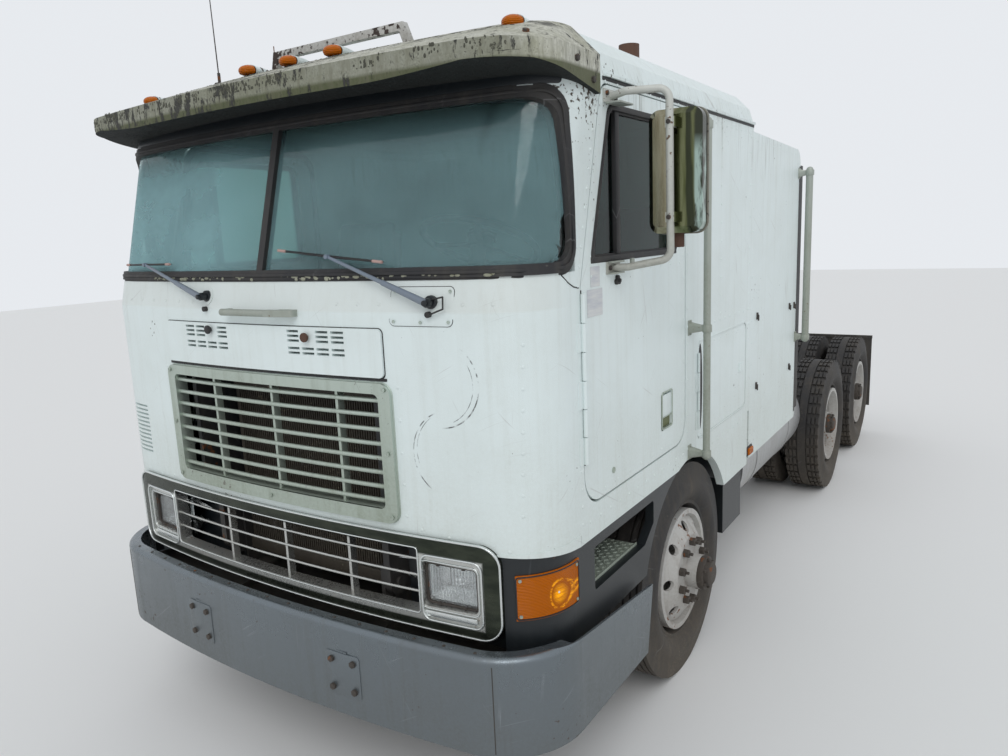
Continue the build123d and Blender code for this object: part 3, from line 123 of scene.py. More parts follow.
ahead_flat = Vector((-sin(YAW), cos(YAW), 0))
right_flat = Vector((cos(YAW), sin(YAW), 0))
looking = ahead_flat * cos(PITCH) + Vector((0, 0, sin(PITCH)))
upright = Vector((0, 0, cos(PITCH))) - ahead_flat * sin(PITCH)
right = right_flat * cos(ROLL) + upright * sin(ROLL)
up = upright * cos(ROLL) - right_flat * sin(ROLL)

bpy.ops.object.camera_add()
camera = bpy.context.object
camera.matrix_world = Matrix.Translation(CAMERA_PLACE) @ Matrix((right, up, -looking)).transposed().to_4x4()
camera.data.sensor_width = SENSOR
camera.data.lens = FOCAL_SHARE * SENSOR
bpy.context.scene.camera = camera
bpy.context.scene.view_settings.view_transform = "Standard"
print("lens:", round(camera.data.lens, 1), "mm")

# %% [markdown]
# ## Short calls for shader nodes
# A small class keeps materials readable: each method adds one node, fills its inputs with values or
# links, and gives back the socket that comes out.

# %% Nodes by short calls
class Nodes:
    """Adds nodes to a material, a group or the world."""

    def __init__(self, tree):
        self.tree = tree
        self.shader = tree.nodes.get("Principled BSDF")

    def feed(self, socket, value):
        """Links a socket to an input, or writes any other value into it."""
        if isinstance(value, bpy.types.NodeSocket):
            self.tree.links.new(value, socket)
        else:
            socket.default_value = value

    def put(self, kind, inputs=None, **settings):
        """A node of this kind with its settings and inputs. Gives back its outputs."""
        node = self.tree.nodes.new("ShaderNode" + kind)
        for key, value in settings.items():
            setattr(node, key, value)
        for key, value in (inputs or {}).items():
            self.feed(node.inputs[key], value)
        return node.outputs

    def give(self, **values):
        """Feeds the shader's own inputs, named with _ for a space."""
        for key, value in values.items():
            self.feed(self.shader.inputs[key.replace("_", " ")], value)

    def place(self):
        return self.put("TexCoord")["Object"]

    def parts(self, vector):
        """The X, Y and Z of a vector."""
        return self.put("SeparateXYZ", {0: vector})

    def share(self, value, low, high, to_low=0, to_high=1):
        """A value between low and high, turned into a share."""
        inputs = {"Value": value, "From Min": low, "From Max": high, "To Min": to_low, "To Max": to_high}
        return self.put("MapRange", inputs)["Result"]

    def either_side(self, value, low, high, fade):
        """1 where a value lies between low and high, with soft ends."""
        return self.times(self.share(value, low - fade, low), self.share(value, high + fade, high))

    def maths(self, operation, first, second=None, **settings):
        """A plain sum. It is not kept between 0 and 1."""
        inputs = {0: first} if second is None else {0: first, 1: second}
        return self.put("Math", inputs, operation=operation, **settings)[0]

    def together(self, operation, values):
        """Values put together one after the other, kept between 0 and 1."""
        total = values[0]
        for value in values[1:]:
            total = self.maths(operation, total, value, use_clamp=True)
        return total

    def times(self, *values):
        return self.together("MULTIPLY", values)

    def plus(self, *values):
        return self.together("ADD", values)

    def most(self, *values):
        return self.together("MAXIMUM", values)

    def vector(self, operation, first, second=None):
        inputs = {0: first} if second is None else {0: first, 1: second}
        return self.put("VectorMath", inputs, operation=operation)[0]

    def length(self, vector):
        return self.put("VectorMath", {0: vector}, operation="LENGTH")["Value"]

    def blend(self, factor, first, second):
        """One colour over another by a factor. A colour may be a socket or three numbers."""
        first, second = [(*c, 1) if isinstance(c, tuple) else c for c in (first, second)]
        return self.put("Mix", {"Factor": factor, 6: first, 7: second}, data_type="RGBA")[2]

    def noise(self, place, scale, detail=4, roughness=0.6):
        inputs = {"Vector": place, "Scale": scale, "Detail": detail, "Roughness": roughness}
        return self.put("TexNoise", inputs)["Fac"]

    def stretched(self, place, scale):
        """A place scaled by three factors, which draws a pattern out along an axis."""
        return self.put("Mapping", {"Vector": place, "Scale": scale})["Vector"]

    def streaks(self, place, scale, detail=4, roughness=0.6):
        """Noise that is drawn out along an axis."""
        return self.noise(self.stretched(place, scale), 1, detail, roughness)

    def use(self, group, **inputs):
        """A group's node with its inputs filled. A colour is three numbers."""
        filled = {key: (*v, 1) if isinstance(v, tuple) else v for key, v in inputs.items()}
        return self.put("Group", filled, node_tree=bpy.data.node_groups[group])

    def relief(self, height, distance):
        """A height that bends the light on the surface."""
        bump = self.put("Bump", {"Height": height, "Distance": distance, "Strength": 1})
        self.give(Normal=bump[0])


def blank(name):
    """A new material and its nodes."""
    made = bpy.data.materials.new(name)
    made.use_nodes = True
    return made, Nodes(made.node_tree)


# %% [markdown]
# ## Light and floor
# The sky was overcast: a pale dome, and one broad, weak lamp that gives the shadows a side. The dome is
# dimmer for the object than it looks behind it.

# %% Studio
DOME_LEVEL = (0.74, 0.86)
SUN_ANGLE = radians(35)

world = bpy.data.worlds.new("studio")
bpy.context.scene.world = world
world.use_nodes = True
sky = Nodes(world.node_tree)
ray = sky.put("LightPath")
seen = sky.maths("MAXIMUM", ray["Is Camera Ray"], ray["Is Glossy Ray"])
seen = sky.maths("MAXIMUM", seen, ray["Is Transmission Ray"])
backdrop = world.node_tree.nodes["Background"].inputs
sky.feed(backdrop["Strength"], sky.share(seen, 0, 1, *DOME_LEVEL))
backdrop["Color"].default_value = (0.93, 0.96, 1, 1)

bpy.ops.object.light_add(type="SUN", rotation=(radians(38), radians(28), 0))
sun = bpy.context.object.data
sun.energy = 0.8
sun.angle = SUN_ANGLE

bpy.ops.mesh.primitive_plane_add(size=60, location=(0, 0, 0))
floor_sheet = bpy.context.object
floor_sheet.name = "studio_floor"
floor_paint, floor_nodes = blank("pale_floor")
floor_nodes.give(Base_Color=(0.78, 0.78, 0.77, 1), Roughness=0.9)
floor_sheet.data.materials.append(floor_paint)
print("sun:", sun.energy, "dome:", DOME_LEVEL)

# %% [markdown]
# ## Weather, as node groups
# Dirt lies in clouds, runs down in streaks and gathers low down, specks of algae and rust sit on paint
# and metal, and branches leave fine scratches. Each of these is a group that many materials share.

# %% Grime, streaks, specks and scratches
DUST = (0.22, 0.19, 0.14)
RUST = (0.17, 0.065, 0.025)


def new_group(name, outputs, **inputs):
    """A shader node group: its nodes, its inputs and its outputs. A colour is four numbers."""
    tree = bpy.data.node_groups.new(name, "ShaderNodeTree")
    for label, value in inputs.items():
        kind = "NodeSocketColor" if isinstance(value, tuple) else "NodeSocketFloat"
        tree.interface.new_socket(label, in_out="INPUT", socket_type=kind).default_value = value
    for label in outputs:
        kind = "NodeSocketColor" if label == "Colour" else "NodeSocketFloat"
        tree.interface.new_socket(label, in_out="OUTPUT", socket_type=kind)
    return Nodes(tree), tree.nodes.new("NodeGroupInput").outputs, tree.nodes.new("NodeGroupOutput").inputs


# Dirt in clouds, in streaks that run down, and more of it low down.
m, given, out = new_group(
    "grime",
    ("Colour", "Mask"),
    Paint=(0.8, 0.8, 0.8, 1),
    Dirt=(0.2, 0.17, 0.12, 1),
    Amount=0.3,
    Low=0.6,
    High=1.6,
)
place = m.place()
clouds = m.share(m.noise(place, 2.6, 7, 0.65), 0.42, 0.8)
runs = m.share(m.streaks(place, (26, 26, 1.1), 5), 0.5, 0.86)
low = m.share(m.parts(place)["Z"], given["High"], given["Low"])
grain = m.share(m.noise(place, 90, 3), 0.3, 0.75, 0.55, 1)
dirt = m.plus(m.times(clouds, 0.55), m.times(runs, 0.6), m.times(low, 0.75))
mask = m.times(dirt, grain, given["Amount"])
m.feed(out["Mask"], mask)
m.feed(out["Colour"], m.blend(mask, given["Paint"], given["Dirt"]))

# Small spots with ragged edges, in loose patches.
m, given, out = new_group(
    "specks", ("Colour", "Mask"), Under=(0.8, 0.8, 0.8, 1), Spot=(0.1, 0.05, 0.02, 1), Scale=60, Share=0.3
)
place = m.place()
patches = m.share(m.noise(place, 3.2, 3), 0.35, 0.7, -0.14, 0.1)
level = m.maths("ADD", m.noise(place, given["Scale"], 5, 0.5), patches)
low = m.share(given["Share"], 0, 1, 0.78, 0.42)
mask = m.share(level, low, m.maths("ADD", low, 0.05))
m.feed(out["Mask"], mask)
m.feed(out["Colour"], m.blend(mask, given["Under"], given["Spot"]))

# Fine scratches in three directions, broken up so that none runs on for long.
m, given, out = new_group("scratches", ("Mask",), Scale=1, Amount=0.3)
place = m.put("VectorMath", {0: m.place(), 3: given["Scale"]}, operation="SCALE")[0]
marks = []
for turn, stretch in ((0.5, (2, 2, 130)), (-0.9, (3, 3, 170)), (1.35, (2, 2, 90))):
    turned = m.put("Mapping", {"Vector": place, "Rotation": (turn, turn, 0)})[0]
    marks.append(m.share(m.streaks(turned, stretch, 1), 0.7, 0.76))
breaks = m.share(m.noise(place, 5, 2), 0.5, 0.62)
m.feed(out["Mask"], m.times(m.most(*marks), breaks, given["Amount"]))

# Slight waves and fine orange peel of sheet metal under paint, as a height.
m, given, out = new_group("ripple", ("Height",), Waves=0.5, Peel=0.5)
place = m.place()
waves = m.times(m.noise(place, 3, 2), given["Waves"])
m.feed(out["Height"], m.plus(waves, m.times(m.noise(place, 420, 2), given["Peel"])))
print("node groups:", [group.name for group in bpy.data.node_groups])

# %% [markdown]
# ## Finishes
# One function makes most finishes: a colour under grime, specks and scratches, with roughness that
# follows the dirt and a faint ripple.

# %% The general finish
def finish(
    name, colour, dirt=(0.2, 0.17, 0.12), amount=0.3, heights=(0.5, 1.5), spot=(0.12, 0.06, 0.03),
    spot_scale=70, spot_share=0.2, scratch=(0.25, 0.25, 0.25), scratched=0.3, rough=(0.4, 0.8),
    metal=0, waves=0.3, peel=0.3, depth=0.002,
):
    """Paint, metal or rubber that has weathered. rough goes from clean to dirty."""
    made, m = blank(name)
    film = m.use("grime", Paint=colour, Dirt=dirt, Amount=amount, Low=heights[0], High=heights[1])
    flecks = m.use("specks", Under=film["Colour"], Spot=spot, Scale=spot_scale, Share=spot_share)
    marks = m.use("scratches", Scale=1, Amount=scratched)
    worn = m.plus(film["Mask"], flecks["Mask"])
    m.give(Base_Color=m.blend(marks["Mask"], flecks["Colour"], scratch))
    m.give(Roughness=m.share(worn, 0, 0.9, *rough), Coat_Weight=0, Coat_Roughness=0.25)
    if metal:
        m.give(Metallic=m.share(worn, 0, 0.9, metal, metal * 0.25))
    sheet = m.use("ripple", Waves=waves, Peel=peel)
    m.relief(m.plus(sheet["Height"], m.times(worn, 0.3)), depth)
    return made


# %% [markdown]
# ## The white paint
# The white has gone semi-matt, with grey runs, a green film low down and long curved scratches ahead of
# the driver's corner. The curves are rings about a few centres on the front, each cut to a sector.

# %% White paint with swung scratches
ARC_ROWS = [
    # centre x, centre z, radius, first and last angle in degrees from +X towards +Z, half width
    (0.8, 1.65, 0.146, -88, 55, 0.003),
    (0.79, 1.65, 0.136, -70, 30, 0.0016),
    (0.838, 1.413, 0.15, 112, 235, 0.0026),
    (0.846, 1.418, 0.144, 125, 200, 0.0014),
]


def ring_mask(m, place, row):
    """Share of a ring's sector on the front, seen from ahead."""
    x, z, radius, first, last, width = row
    offset = m.vector("MULTIPLY", m.vector("SUBTRACT", place, (x, 0, z)), (1, 0, 1))
    gap = m.maths("ABSOLUTE", m.maths("SUBTRACT", m.length(offset), radius))
    px, py, pz = m.parts(offset)
    middle, half = radians((first + last) / 2), radians((last - first) / 2)
    along_x = m.maths("MULTIPLY", px, cos(middle))
    along_z = m.maths("MULTIPLY", pz, sin(middle))
    along = m.maths("ADD", along_x, along_z)
    sector = m.share(along, radius * cos(half), radius * cos(half * 0.85))
    return m.times(m.share(gap, width, width * 0.4), sector)


def white_paint():
    made, m = blank("white_paint")
    place = m.place()
    x, y, z = m.parts(place)
    film = m.use(
        "grime", Paint=(0.755, 0.835, 0.828), Dirt=(0.42, 0.42, 0.34), Amount=0.42, Low=0.95, High=1.5
    )
    pillar = m.times(m.either_side(y, back(0.34), back(0.5), 0.06), m.share(z, 1.95, 2.2))
    under_gutter = m.either_side(z, 2.5, 2.63, 0.06)
    spotted = m.maths("ADD", m.plus(m.times(pillar, 0.42), m.times(under_gutter, 0.2)), 0.1)
    flecks = m.use("specks", Under=film["Colour"], Spot=(0.075, 0.06, 0.045), Scale=62, Share=spotted)

    drips = m.share(m.streaks(place, (46, 46, 2.2), 3), 0.56, 0.72)
    below_gutter = m.times(m.either_side(z, 2.46, 2.61, 0.14), drips)
    behind_front = m.share(y, back(0.45), back(0.65))
    dripped = m.blend(m.times(below_gutter, behind_front, 0.5), flecks["Colour"], (0.16, 0.16, 0.12))

    above_crease = m.share(z, CREASE_Z - 0.004, CREASE_Z + 0.004)
    front_zone = m.share(y, back(0.3), back(0.2))
    below_screen = m.share(z, 2.06, 2.02)
    toned = m.blend(m.times(above_crease, front_zone, below_screen, 0.3), dripped, (0.56, 0.56, 0.51))

    rings = m.most(*[ring_mask(m, place, row) for row in ARC_ROWS])
    broken = m.share(m.noise(place, 34, 3), 0.38, 0.56)
    swung = m.times(rings, broken, m.share(y, back(0.18), back(0.15)))
    fine = m.use("scratches", Scale=1, Amount=0.4)
    scratched = m.blend(fine["Mask"], toned, (0.44, 0.44, 0.42))
    worn = m.plus(film["Mask"], flecks["Mask"])
    m.give(Base_Color=m.blend(swung, scratched, (0.09, 0.09, 0.09)))
    m.give(Roughness=m.share(worn, 0, 0.9, 0.36, 0.8))
    sheet = m.use("ripple", Waves=0.5, Peel=0.25)
    m.relief(m.plus(sheet["Height"], m.times(flecks["Mask"], 0.2)), 0.003)
    return made


# %% [markdown]
# ## Lichen
# Lichen and black mould have taken over the visor in broad ragged patches, whose crust raises the
# surface.

# %% Visor paint
def visor_paint():
    """Faded cream under green film and ragged black lichen, thickest ahead of the passenger."""
    made, m = blank("visor_paint")
    place = m.place()
    x, y, z = m.parts(place)
    facing = m.parts(m.put("TexCoord")["Normal"])
    clouds = m.share(m.noise(place, 5, 6, 0.7), 0.38, 0.72)
    cream = m.blend(clouds, (0.64, 0.64, 0.57), (0.4, 0.4, 0.3))
    # Darker where the surface faces forward.
    faces_forward = m.share(facing["Y"], -0.45, -0.85, 0, 0.62)
    cream = m.blend(faces_forward, cream, (0.105, 0.115, 0.07))
    # Dark olive on the lowest edge, where the lip turns under: partly green film, partly painted shade.
    lip = m.share(z, 2.626, 2.614)
    under = m.blend(m.times(lip, 0.9), cream, (0.07, 0.082, 0.03))
    grain = m.share(m.streaks(place, (60, 60, 14), 5), 0.4, 0.66)
    grit = m.share(m.noise(place, 170, 4, 0.7), 0.52, 0.66)
    grain = m.most(grain, m.times(grit, 0.9))
    speckled = m.blend(m.times(grain, 0.55), under, (0.13, 0.125, 0.085))

    heavy = m.either_side(x, -0.85, 0.1, 0.35)
    patches = m.share(m.noise(place, 7, 4, 0.6), 0.38, 0.58)
    level = m.maths("MULTIPLY", m.times(heavy, patches), 0.13)
    crust = m.maths("ADD", m.streaks(place, (34, 34, 11), 7, 0.72), level)
    ragged = m.share(m.noise(place, 22, 5), 0.45, 0.62)
    edge_rot = m.times(m.either_side(z, 2.752, 2.79, 0.02), ragged)
    lichen = m.most(m.share(crust, 0.585, 0.64), m.times(edge_rot, 0.8))
    coloured = m.blend(lichen, speckled, (0.045, 0.045, 0.04))
    # Near black where the surface faces down: painted shade under the visor.
    coloured = m.blend(m.share(facing["Z"], -0.35, -0.6), coloured, (0.01, 0.013, 0.012))
    m.give(Base_Color=coloured, Roughness=0.88)
    m.relief(m.plus(m.times(lichen, 0.7), m.times(grain, 0.3)), 0.004)
    return made


# %% [markdown]
# ## Bright metal that has dulled
# The band round the lower grille is olive and dark, partly from dulling and lichen and partly as a painted
# reflection of green plants, while its slats and bezels stayed silver. The mirror heads have brown and green
# bands, the green a painted reflection of plants, with painted shade and a painted reflection at the edge. In
# each the colour changes with the place on the piece.

# %% Chrome band and mirror heads
SILVER_ZONE = (0.935, 0.815, 1.058)
MIRROR_TUBE_X = 1.343


def chrome_band():
    made = finish(
        "chrome_trim", (0.6, 0.61, 0.59), DUST, 0.45, (0.7, 1.2), RUST, 90, 0.2, rough=(0.16, 0.65), metal=1
    )
    m = Nodes(made.node_tree)
    place = m.place()
    x, y, z = m.parts(place)
    half, low, high = SILVER_ZONE
    outside = m.share(m.maths("ABSOLUTE", x), half - 0.004, half + 0.004)
    above = m.share(z, high - 0.004, high + 0.004)
    below = m.share(z, low + 0.002, low - 0.004)
    band = m.most(outside, m.most(above, below))
    # Olive over the band: partly dulling and lichen, partly a painted reflection of green plants.
    clouds = m.share(m.streaks(place, (9, 9, 30), 4), 0.36, 0.66)
    olive_tarnish_and_reflection = m.blend(clouds, (0.01, 0.016, 0.008), (0.034, 0.042, 0.026))
    silver = m.shader.inputs["Base Color"].links[0].from_socket
    m.give(Base_Color=m.blend(m.times(band, 0.96), silver, olive_tarnish_and_reflection))
    return made


def mirror_steel():
    """Stainless head ahead of the glass, in brown and green bands, the green a painted reflection of plants;
    a near-black line of painted shade and a painted reflection run along its outer edge. Galvanised tube in
    front of it.
    """
    made, m = blank("mirror_steel")
    place = m.place()
    x, y, z = m.parts(place)
    across = m.maths("ABSOLUTE", x)
    glass = m.share(y, back(0.7795), back(0.7805))
    off_tube = m.maths("ABSOLUTE", m.maths("SUBTRACT", across, MIRROR_TUBE_X))
    behind_tube = m.most(m.share(y, back(0.701), back(0.703)), m.share(off_tube, 0.015, 0.016))
    head_part = m.times(behind_tube, m.either_side(z, 2.094, 2.512, 0.002))
    sway = m.share(m.streaks(place, (14, 14, 1.6), 3), 0, 1, -0.03, 0.03)
    wavy = m.maths("ADD", across, sway)
    streaks = m.share(m.streaks(place, (60, 60, 5), 5), 0.4, 0.68)
    brown = m.blend(streaks, (0.23, 0.205, 0.13), (0.33, 0.31, 0.22))
    # Green bands: a painted reflection of plants.
    plant_reflection = m.blend(streaks, (0.095, 0.105, 0.045), (0.175, 0.185, 0.1))
    bands = m.blend(m.share(wavy, 1.335, 1.352), brown, plant_reflection)
    # A near-black line near the outer edge: painted shade.
    bands = m.blend(m.times(m.either_side(wavy, 1.392, 1.412, 0.006), 0.85), bands, (0.03, 0.035, 0.025))
    # The outer edge: a painted reflection, dark at the top and in patches, pale green-blue elsewhere.
    patches = m.share(m.streaks(place, (30, 30, 7), 4), 0.44, 0.56)
    upper = m.share(z, 2.36, 2.42)
    edge_reflection = m.blend(m.most(patches, upper), (0.36, 0.46, 0.41), (0.05, 0.055, 0.04))
    bands = m.blend(m.share(across, 1.414, 1.42), bands, edge_reflection)
    film = m.use("grime", Paint=(0.56, 0.57, 0.53), Dirt=(0.2, 0.19, 0.14), Amount=0.6, Low=2, High=2.5)
    tube = m.use("specks", Under=film["Colour"], Spot=(0.12, 0.07, 0.04), Scale=80, Share=0.32)
    coloured = m.blend(glass, m.blend(head_part, tube["Colour"], bands), (0.72, 0.74, 0.74))
    bright = m.most(head_part, glass)
    m.give(
        Base_Color=coloured,
        Metallic=m.share(bright, 0, 1, 0.25, 1),
        Roughness=m.share(bright, 0, 1, 0.55, 0.13),
    )
    m.relief(m.use("ripple", Waves=0.8, Peel=0.05)["Height"], 0.002)
    return made


# %% [markdown]
# ## Rubber, glass and lenses
# A tinted pane has two surfaces, so its colour counts twice. Lamp lenses have fine flutes, which a wave
# texture raises.

# %% Glass and lenses
def dusty(m, colour, dust, amount, low, high, rough):
    """Colour and roughness of a clean surface under a film of dust."""
    film = m.use("grime", Paint=colour, Dirt=dust, Amount=amount, Low=low, High=high)
    m.give(Base_Color=film["Colour"], Roughness=m.share(film["Mask"], 0, 1, rough, 0.5))


def clear_glass(name, colour, rough, dust, mirroring=1.45):
    """A see-through pane with a film of dust that shows mostly in its roughness."""
    made, m = blank(name)
    dusty(m, colour, dust, 0.12, 1.9, 2.5, rough)
    m.give(Transmission_Weight=1, IOR=mirroring)
    return made


def glass_film():
    """Pale blue layer on the windscreen: painted sky light, seen through the far windows and in reflection,
    strongest ahead of the passenger and faint under the visor, where it leaves painted shade.
    """
    made, m = blank("glass_film")
    place = m.place()
    x, y, z = m.parts(place)
    # Painted sky light: strongest ahead of the passenger, faint under the visor as painted shade.
    clouds = m.share(m.streaks(place, (3, 3, 5), 4), 0.3, 0.7, 0.75, 1.15)
    passenger = m.share(x, 0, -0.35, 0.18, 0.44)
    visor_shade = m.share(z, 2.52, 2.42, 0.18, 1)
    m.give(
        Alpha=m.times(passenger, clouds, visor_shade),
        Base_Color=m.blend(clouds, (0.27, 0.49, 0.54), (0.33, 0.56, 0.59)),
        Roughness=0.7, Specular_IOR_Level=0.1,
    )
    return made


def lens(name, colour, flutes, axis, see_through):
    """A moulded lens with flutes along one axis."""
    made, m = blank(name)
    dusty(m, colour, (0.12, 0.1, 0.07), 0.12, 0.8, 1.1, 0.12)
    m.give(Transmission_Weight=see_through)
    wave = m.put("TexWave", {"Vector": m.place(), "Scale": flutes, "Distortion": 0}, bands_direction=axis)
    m.relief(wave["Fac"], 0.0015)
    return made


LAMP_BOWL = (1.132, 0, 0.928)


def amber_lens():
    """Orange lens with fine flutes and a painted highlight, lighter and faintly glowing where its reflector
    would gather the light.
    """
    made = lens("amber_lens", (0.52, 0.125, 0.001), 60, "Z", 0.04)
    m = Nodes(made.node_tree)
    place = m.place()
    x_and_z = m.vector("MULTIPLY", m.vector("ABSOLUTE", place), (1, 0, 1))
    away = m.length(m.vector("MULTIPLY", m.vector("SUBTRACT", x_and_z, LAMP_BOWL), (3.2, 0, 1)))
    # A painted highlight in the reflector's middle and round its rim.
    ridges = m.share(m.streaks(place, (20, 20, 160), 3), 0.35, 0.65, 0.35, 1)
    broken = m.share(m.streaks(place, (26, 26, 60), 3), 0.44, 0.6, 0, 0.75)
    bowl_edge_highlight = m.times(m.either_side(away, 0.047, 0.053, 0.004), broken)
    reflector_highlight = m.most(m.times(m.share(away, 0.04, 0.01), ridges), bowl_edge_highlight)
    orange = m.shader.inputs["Base Color"].links[0].from_socket
    # The highlight is painted into the colour and also glows a little: painted light.
    m.give(
        Base_Color=m.blend(reflector_highlight, orange, (1, 0.45, 0.01)),
        Emission_Color=m.blend(reflector_highlight, (0, 0, 0), (1, 0.36, 0)),
        Emission_Strength=0.45, Specular_IOR_Level=0.12,
    )
    return made


def cloth(name, colour, second, scale, depth):
    """Woven seat cloth: crossed waves and slubs of a second colour."""
    made, m = blank(name)
    place = m.place()
    waves = [
        m.put("TexWave", {"Vector": place, "Scale": scale, "Distortion": 0.6}, bands_direction=axis)["Fac"]
        for axis in ("X", "Z", "Y")
    ]
    slubs = m.share(m.streaks(place, (40, 40, 300), 2), 0.45, 0.75)
    film = m.use(
        "grime", Paint=m.blend(slubs, colour, second), Dirt=(0.1, 0.09, 0.07), Amount=0.4, Low=1, High=1.5
    )
    m.give(Base_Color=film["Colour"], Roughness=0.95, Sheen_Weight=0.3)
    m.relief(m.times(*waves), depth)
    return made


# %% [markdown]
# ## The list of finishes
# Every solid takes the finish that its slot names, apart from the door windows and the roof bar, which are
# darker; the roof bar is more worn, and the door windows' dark green tint is partly a painted reflection of
# trees. Values are linear, so a mid grey is about 0.2.

# %% All finishes by slot
finishes = [
    # name, colour, dirt, its amount and heights, spots with their scale and share, scratches and their share
    white_paint(),
    visor_paint(),
    finish(
        "black_paint", (0.007, 0.01, 0.013), (0.1, 0.1, 0.085), 0.12, (0.6, 1.3), RUST, 60, 0.1,
        (0.1, 0.11, 0.12), 0.2, (0.3, 0.7),
    ),
    finish("frame_paint", (0.025, 0.025, 0.027), DUST, 0.4, (0.4, 1.1), RUST, 34, 0.42, rough=(0.5, 0.9)),
    finish(
        "bumper_steel", (0.185, 0.212, 0.232), (0.1, 0.098, 0.082), 0.55, (0.4, 0.8), (0.09, 0.07, 0.06),
        46, 0.22, (0.38, 0.41, 0.43), 0.3, (0.22, 0.7), 0.8, waves=0.9,
    ),
    chrome_band(),
    # Grille aluminium: its green tint is partly a painted reflection of plants.
    finish(
        "grille_aluminium", (0.52, 0.59, 0.53), (0.19, 0.21, 0.14), 0.7, (1, 1.7), (0.2, 0.2, 0.17),
        70, 0.22, rough=(0.34, 0.8), metal=0.8,
    ),
    finish(
        "tank_aluminium", (0.55, 0.56, 0.57), DUST, 0.55, (0.4, 1), (0.2, 0.2, 0.18), 60, 0.25,
        rough=(0.32, 0.8), metal=1,
    ),
    finish(
        "rail_aluminium", (0.4, 0.43, 0.39), (0.19, 0.2, 0.13), 0.6, (1, 2.6), DUST, 80, 0.3,
        rough=(0.42, 0.85), metal=0.5,
    ),
    mirror_steel(),
    clear_glass("tinted_glass", (0.46, 0.6, 0.58), 0.02, (0.3, 0.33, 0.3)),
    lens("lamp_glass", (0.95, 0.97, 0.97), 26, "X", 0.9),
    amber_lens(),
    lens("red_lens", (0.45, 0.012, 0.01), 30, "X", 0.3),
    finish(
        "black_rubber", (0.016, 0.016, 0.018), DUST, 0.3, (0.4, 1.4), (0.1, 0.1, 0.09), 80, 0.15,
        rough=(0.6, 0.95),
    ),
    finish(
        "tyre_rubber", (0.022, 0.021, 0.021), (0.16, 0.13, 0.095), 0.7, (0, 0.6), DUST, 120, 0.25,
        rough=(0.7, 0.97), peel=0.6,
    ),
    finish(
        "wheel_paint", (0.52, 0.52, 0.5), (0.14, 0.09, 0.05), 0.7, (0.1, 0.9), RUST, 40, 0.42,
        rough=(0.42, 0.9),
    ),
    finish(
        "cast_parts", (0.045, 0.038, 0.033), (0.1, 0.08, 0.06), 0.7, (0.2, 1), RUST, 26, 0.5,
        rough=(0.55, 0.92), peel=0.8, depth=0.003,
    ),
    finish(
        "rusty_steel", (0.13, 0.065, 0.042), (0.07, 0.04, 0.03), 0.9, (0.9, 3.2), (0.26, 0.12, 0.05), 30, 0.5,
        rough=(0.75, 0.98), peel=0.9, depth=0.004,
    ),
    finish("radiator_core", (0.035, 0.028, 0.022), DUST, 0.35, (1, 1.7), DUST, 90, 0.3, rough=(0.6, 0.95)),
    finish(
        "cab_trim", (0.06, 0.055, 0.05), DUST, 0.45, (1.5, 2.2), (0.12, 0.1, 0.08), 100, 0.2,
        rough=(0.55, 0.85), peel=0.8,
    ),
    cloth("seat_cloth", (0.055, 0.06, 0.075), (0.16, 0.15, 0.14), 60, 0.0012),
    finish(
        "bunk_vinyl", (0.1, 0.085, 0.07), DUST, 0.3, (1.5, 1.9), (0.05, 0.045, 0.04), 60, 0.2,
        rough=(0.4, 0.7), peel=0.9,
    ),
]
PAINTS = {made.name.split(".")[0]: made for made in finishes}
# Door glass: its dark green tint is partly a painted reflection of trees.
DOOR_GLASS = clear_glass("door_glass", (0.12, 0.26, 0.23), 0.02, (0.2, 0.24, 0.21), 1.24)
FLAKING_WHITE = finish(
    "flaking_white", (0.66, 0.66, 0.64), (0.19, 0.17, 0.13), 0.85, (2.8, 2.93), (0.05, 0.036, 0.03),
    62, 0.74, (0.13, 0.06, 0.035), 0.6, (0.5, 0.9), depth=0.003,
)
BRIGHT_CHROME = finish(
    "bright_chrome", (0.74, 0.77, 0.76), DUST, 0.25, (0.6, 1.2), (0.2, 0.2, 0.17), 90, 0.15,
    rough=(0.14, 0.6), metal=1,
)
REFLECTOR = finish(
    "reflector", (0.93, 0.95, 0.95), DUST, 0.04, (0.5, 0.9), DUST, 120, 0.03, scratched=0,
    rough=(0.16, 0.4), metal=1, waves=1,
)
OWN_FINISH = {"door_glass_left": DOOR_GLASS, "door_glass_right": DOOR_GLASS, "roof_bar": FLAKING_WHITE}
node_slot = {row["node"]: row["material_slot"] for row in frame["record"]["subparts"]}
for name, node in nodes.items():
    node.data.materials.clear()
    node.data.materials.append(OWN_FINISH.get(name, PAINTS[node_slot[name]]))
print("finishes:", len(PAINTS), "on", len(nodes), "solids")

# %% [markdown]
# ## How the pieces are modelled
# Every new piece starts as one primitive at its place. Its faces, edges or points are picked in code by
# where they are, shaped in edit mode, and finished with a modifier or two.

# %% Modelling helpers
def object_mode():
    if bpy.context.object and bpy.context.object.mode == "EDIT":
        bpy.ops.object.mode_set(mode="OBJECT")


def alone(piece):
    """Object mode, with only this piece selected and active."""
    object_mode()
    bpy.ops.object.select_all(action="DESELECT")
    piece.select_set(True)
    bpy.context.view_layer.objects.active = piece


def shape(kind, **settings):
    """A new primitive, with its place and size in its mesh."""
    object_mode()
    bpy.ops.object.select_all(action="DESELECT")
    getattr(bpy.ops.mesh, f"primitive_{kind}_add")(**settings)
    bpy.ops.object.transform_apply(location=True, rotation=True, scale=True)
    return bpy.context.object


def bar(low, high):
    """A block from its lowest to its highest corner."""
    middle = [(l + h) / 2 for l, h in zip(low, high)]
    return shape("cube", size=1, location=middle, scale=[h - l for l, h in zip(low, high)])


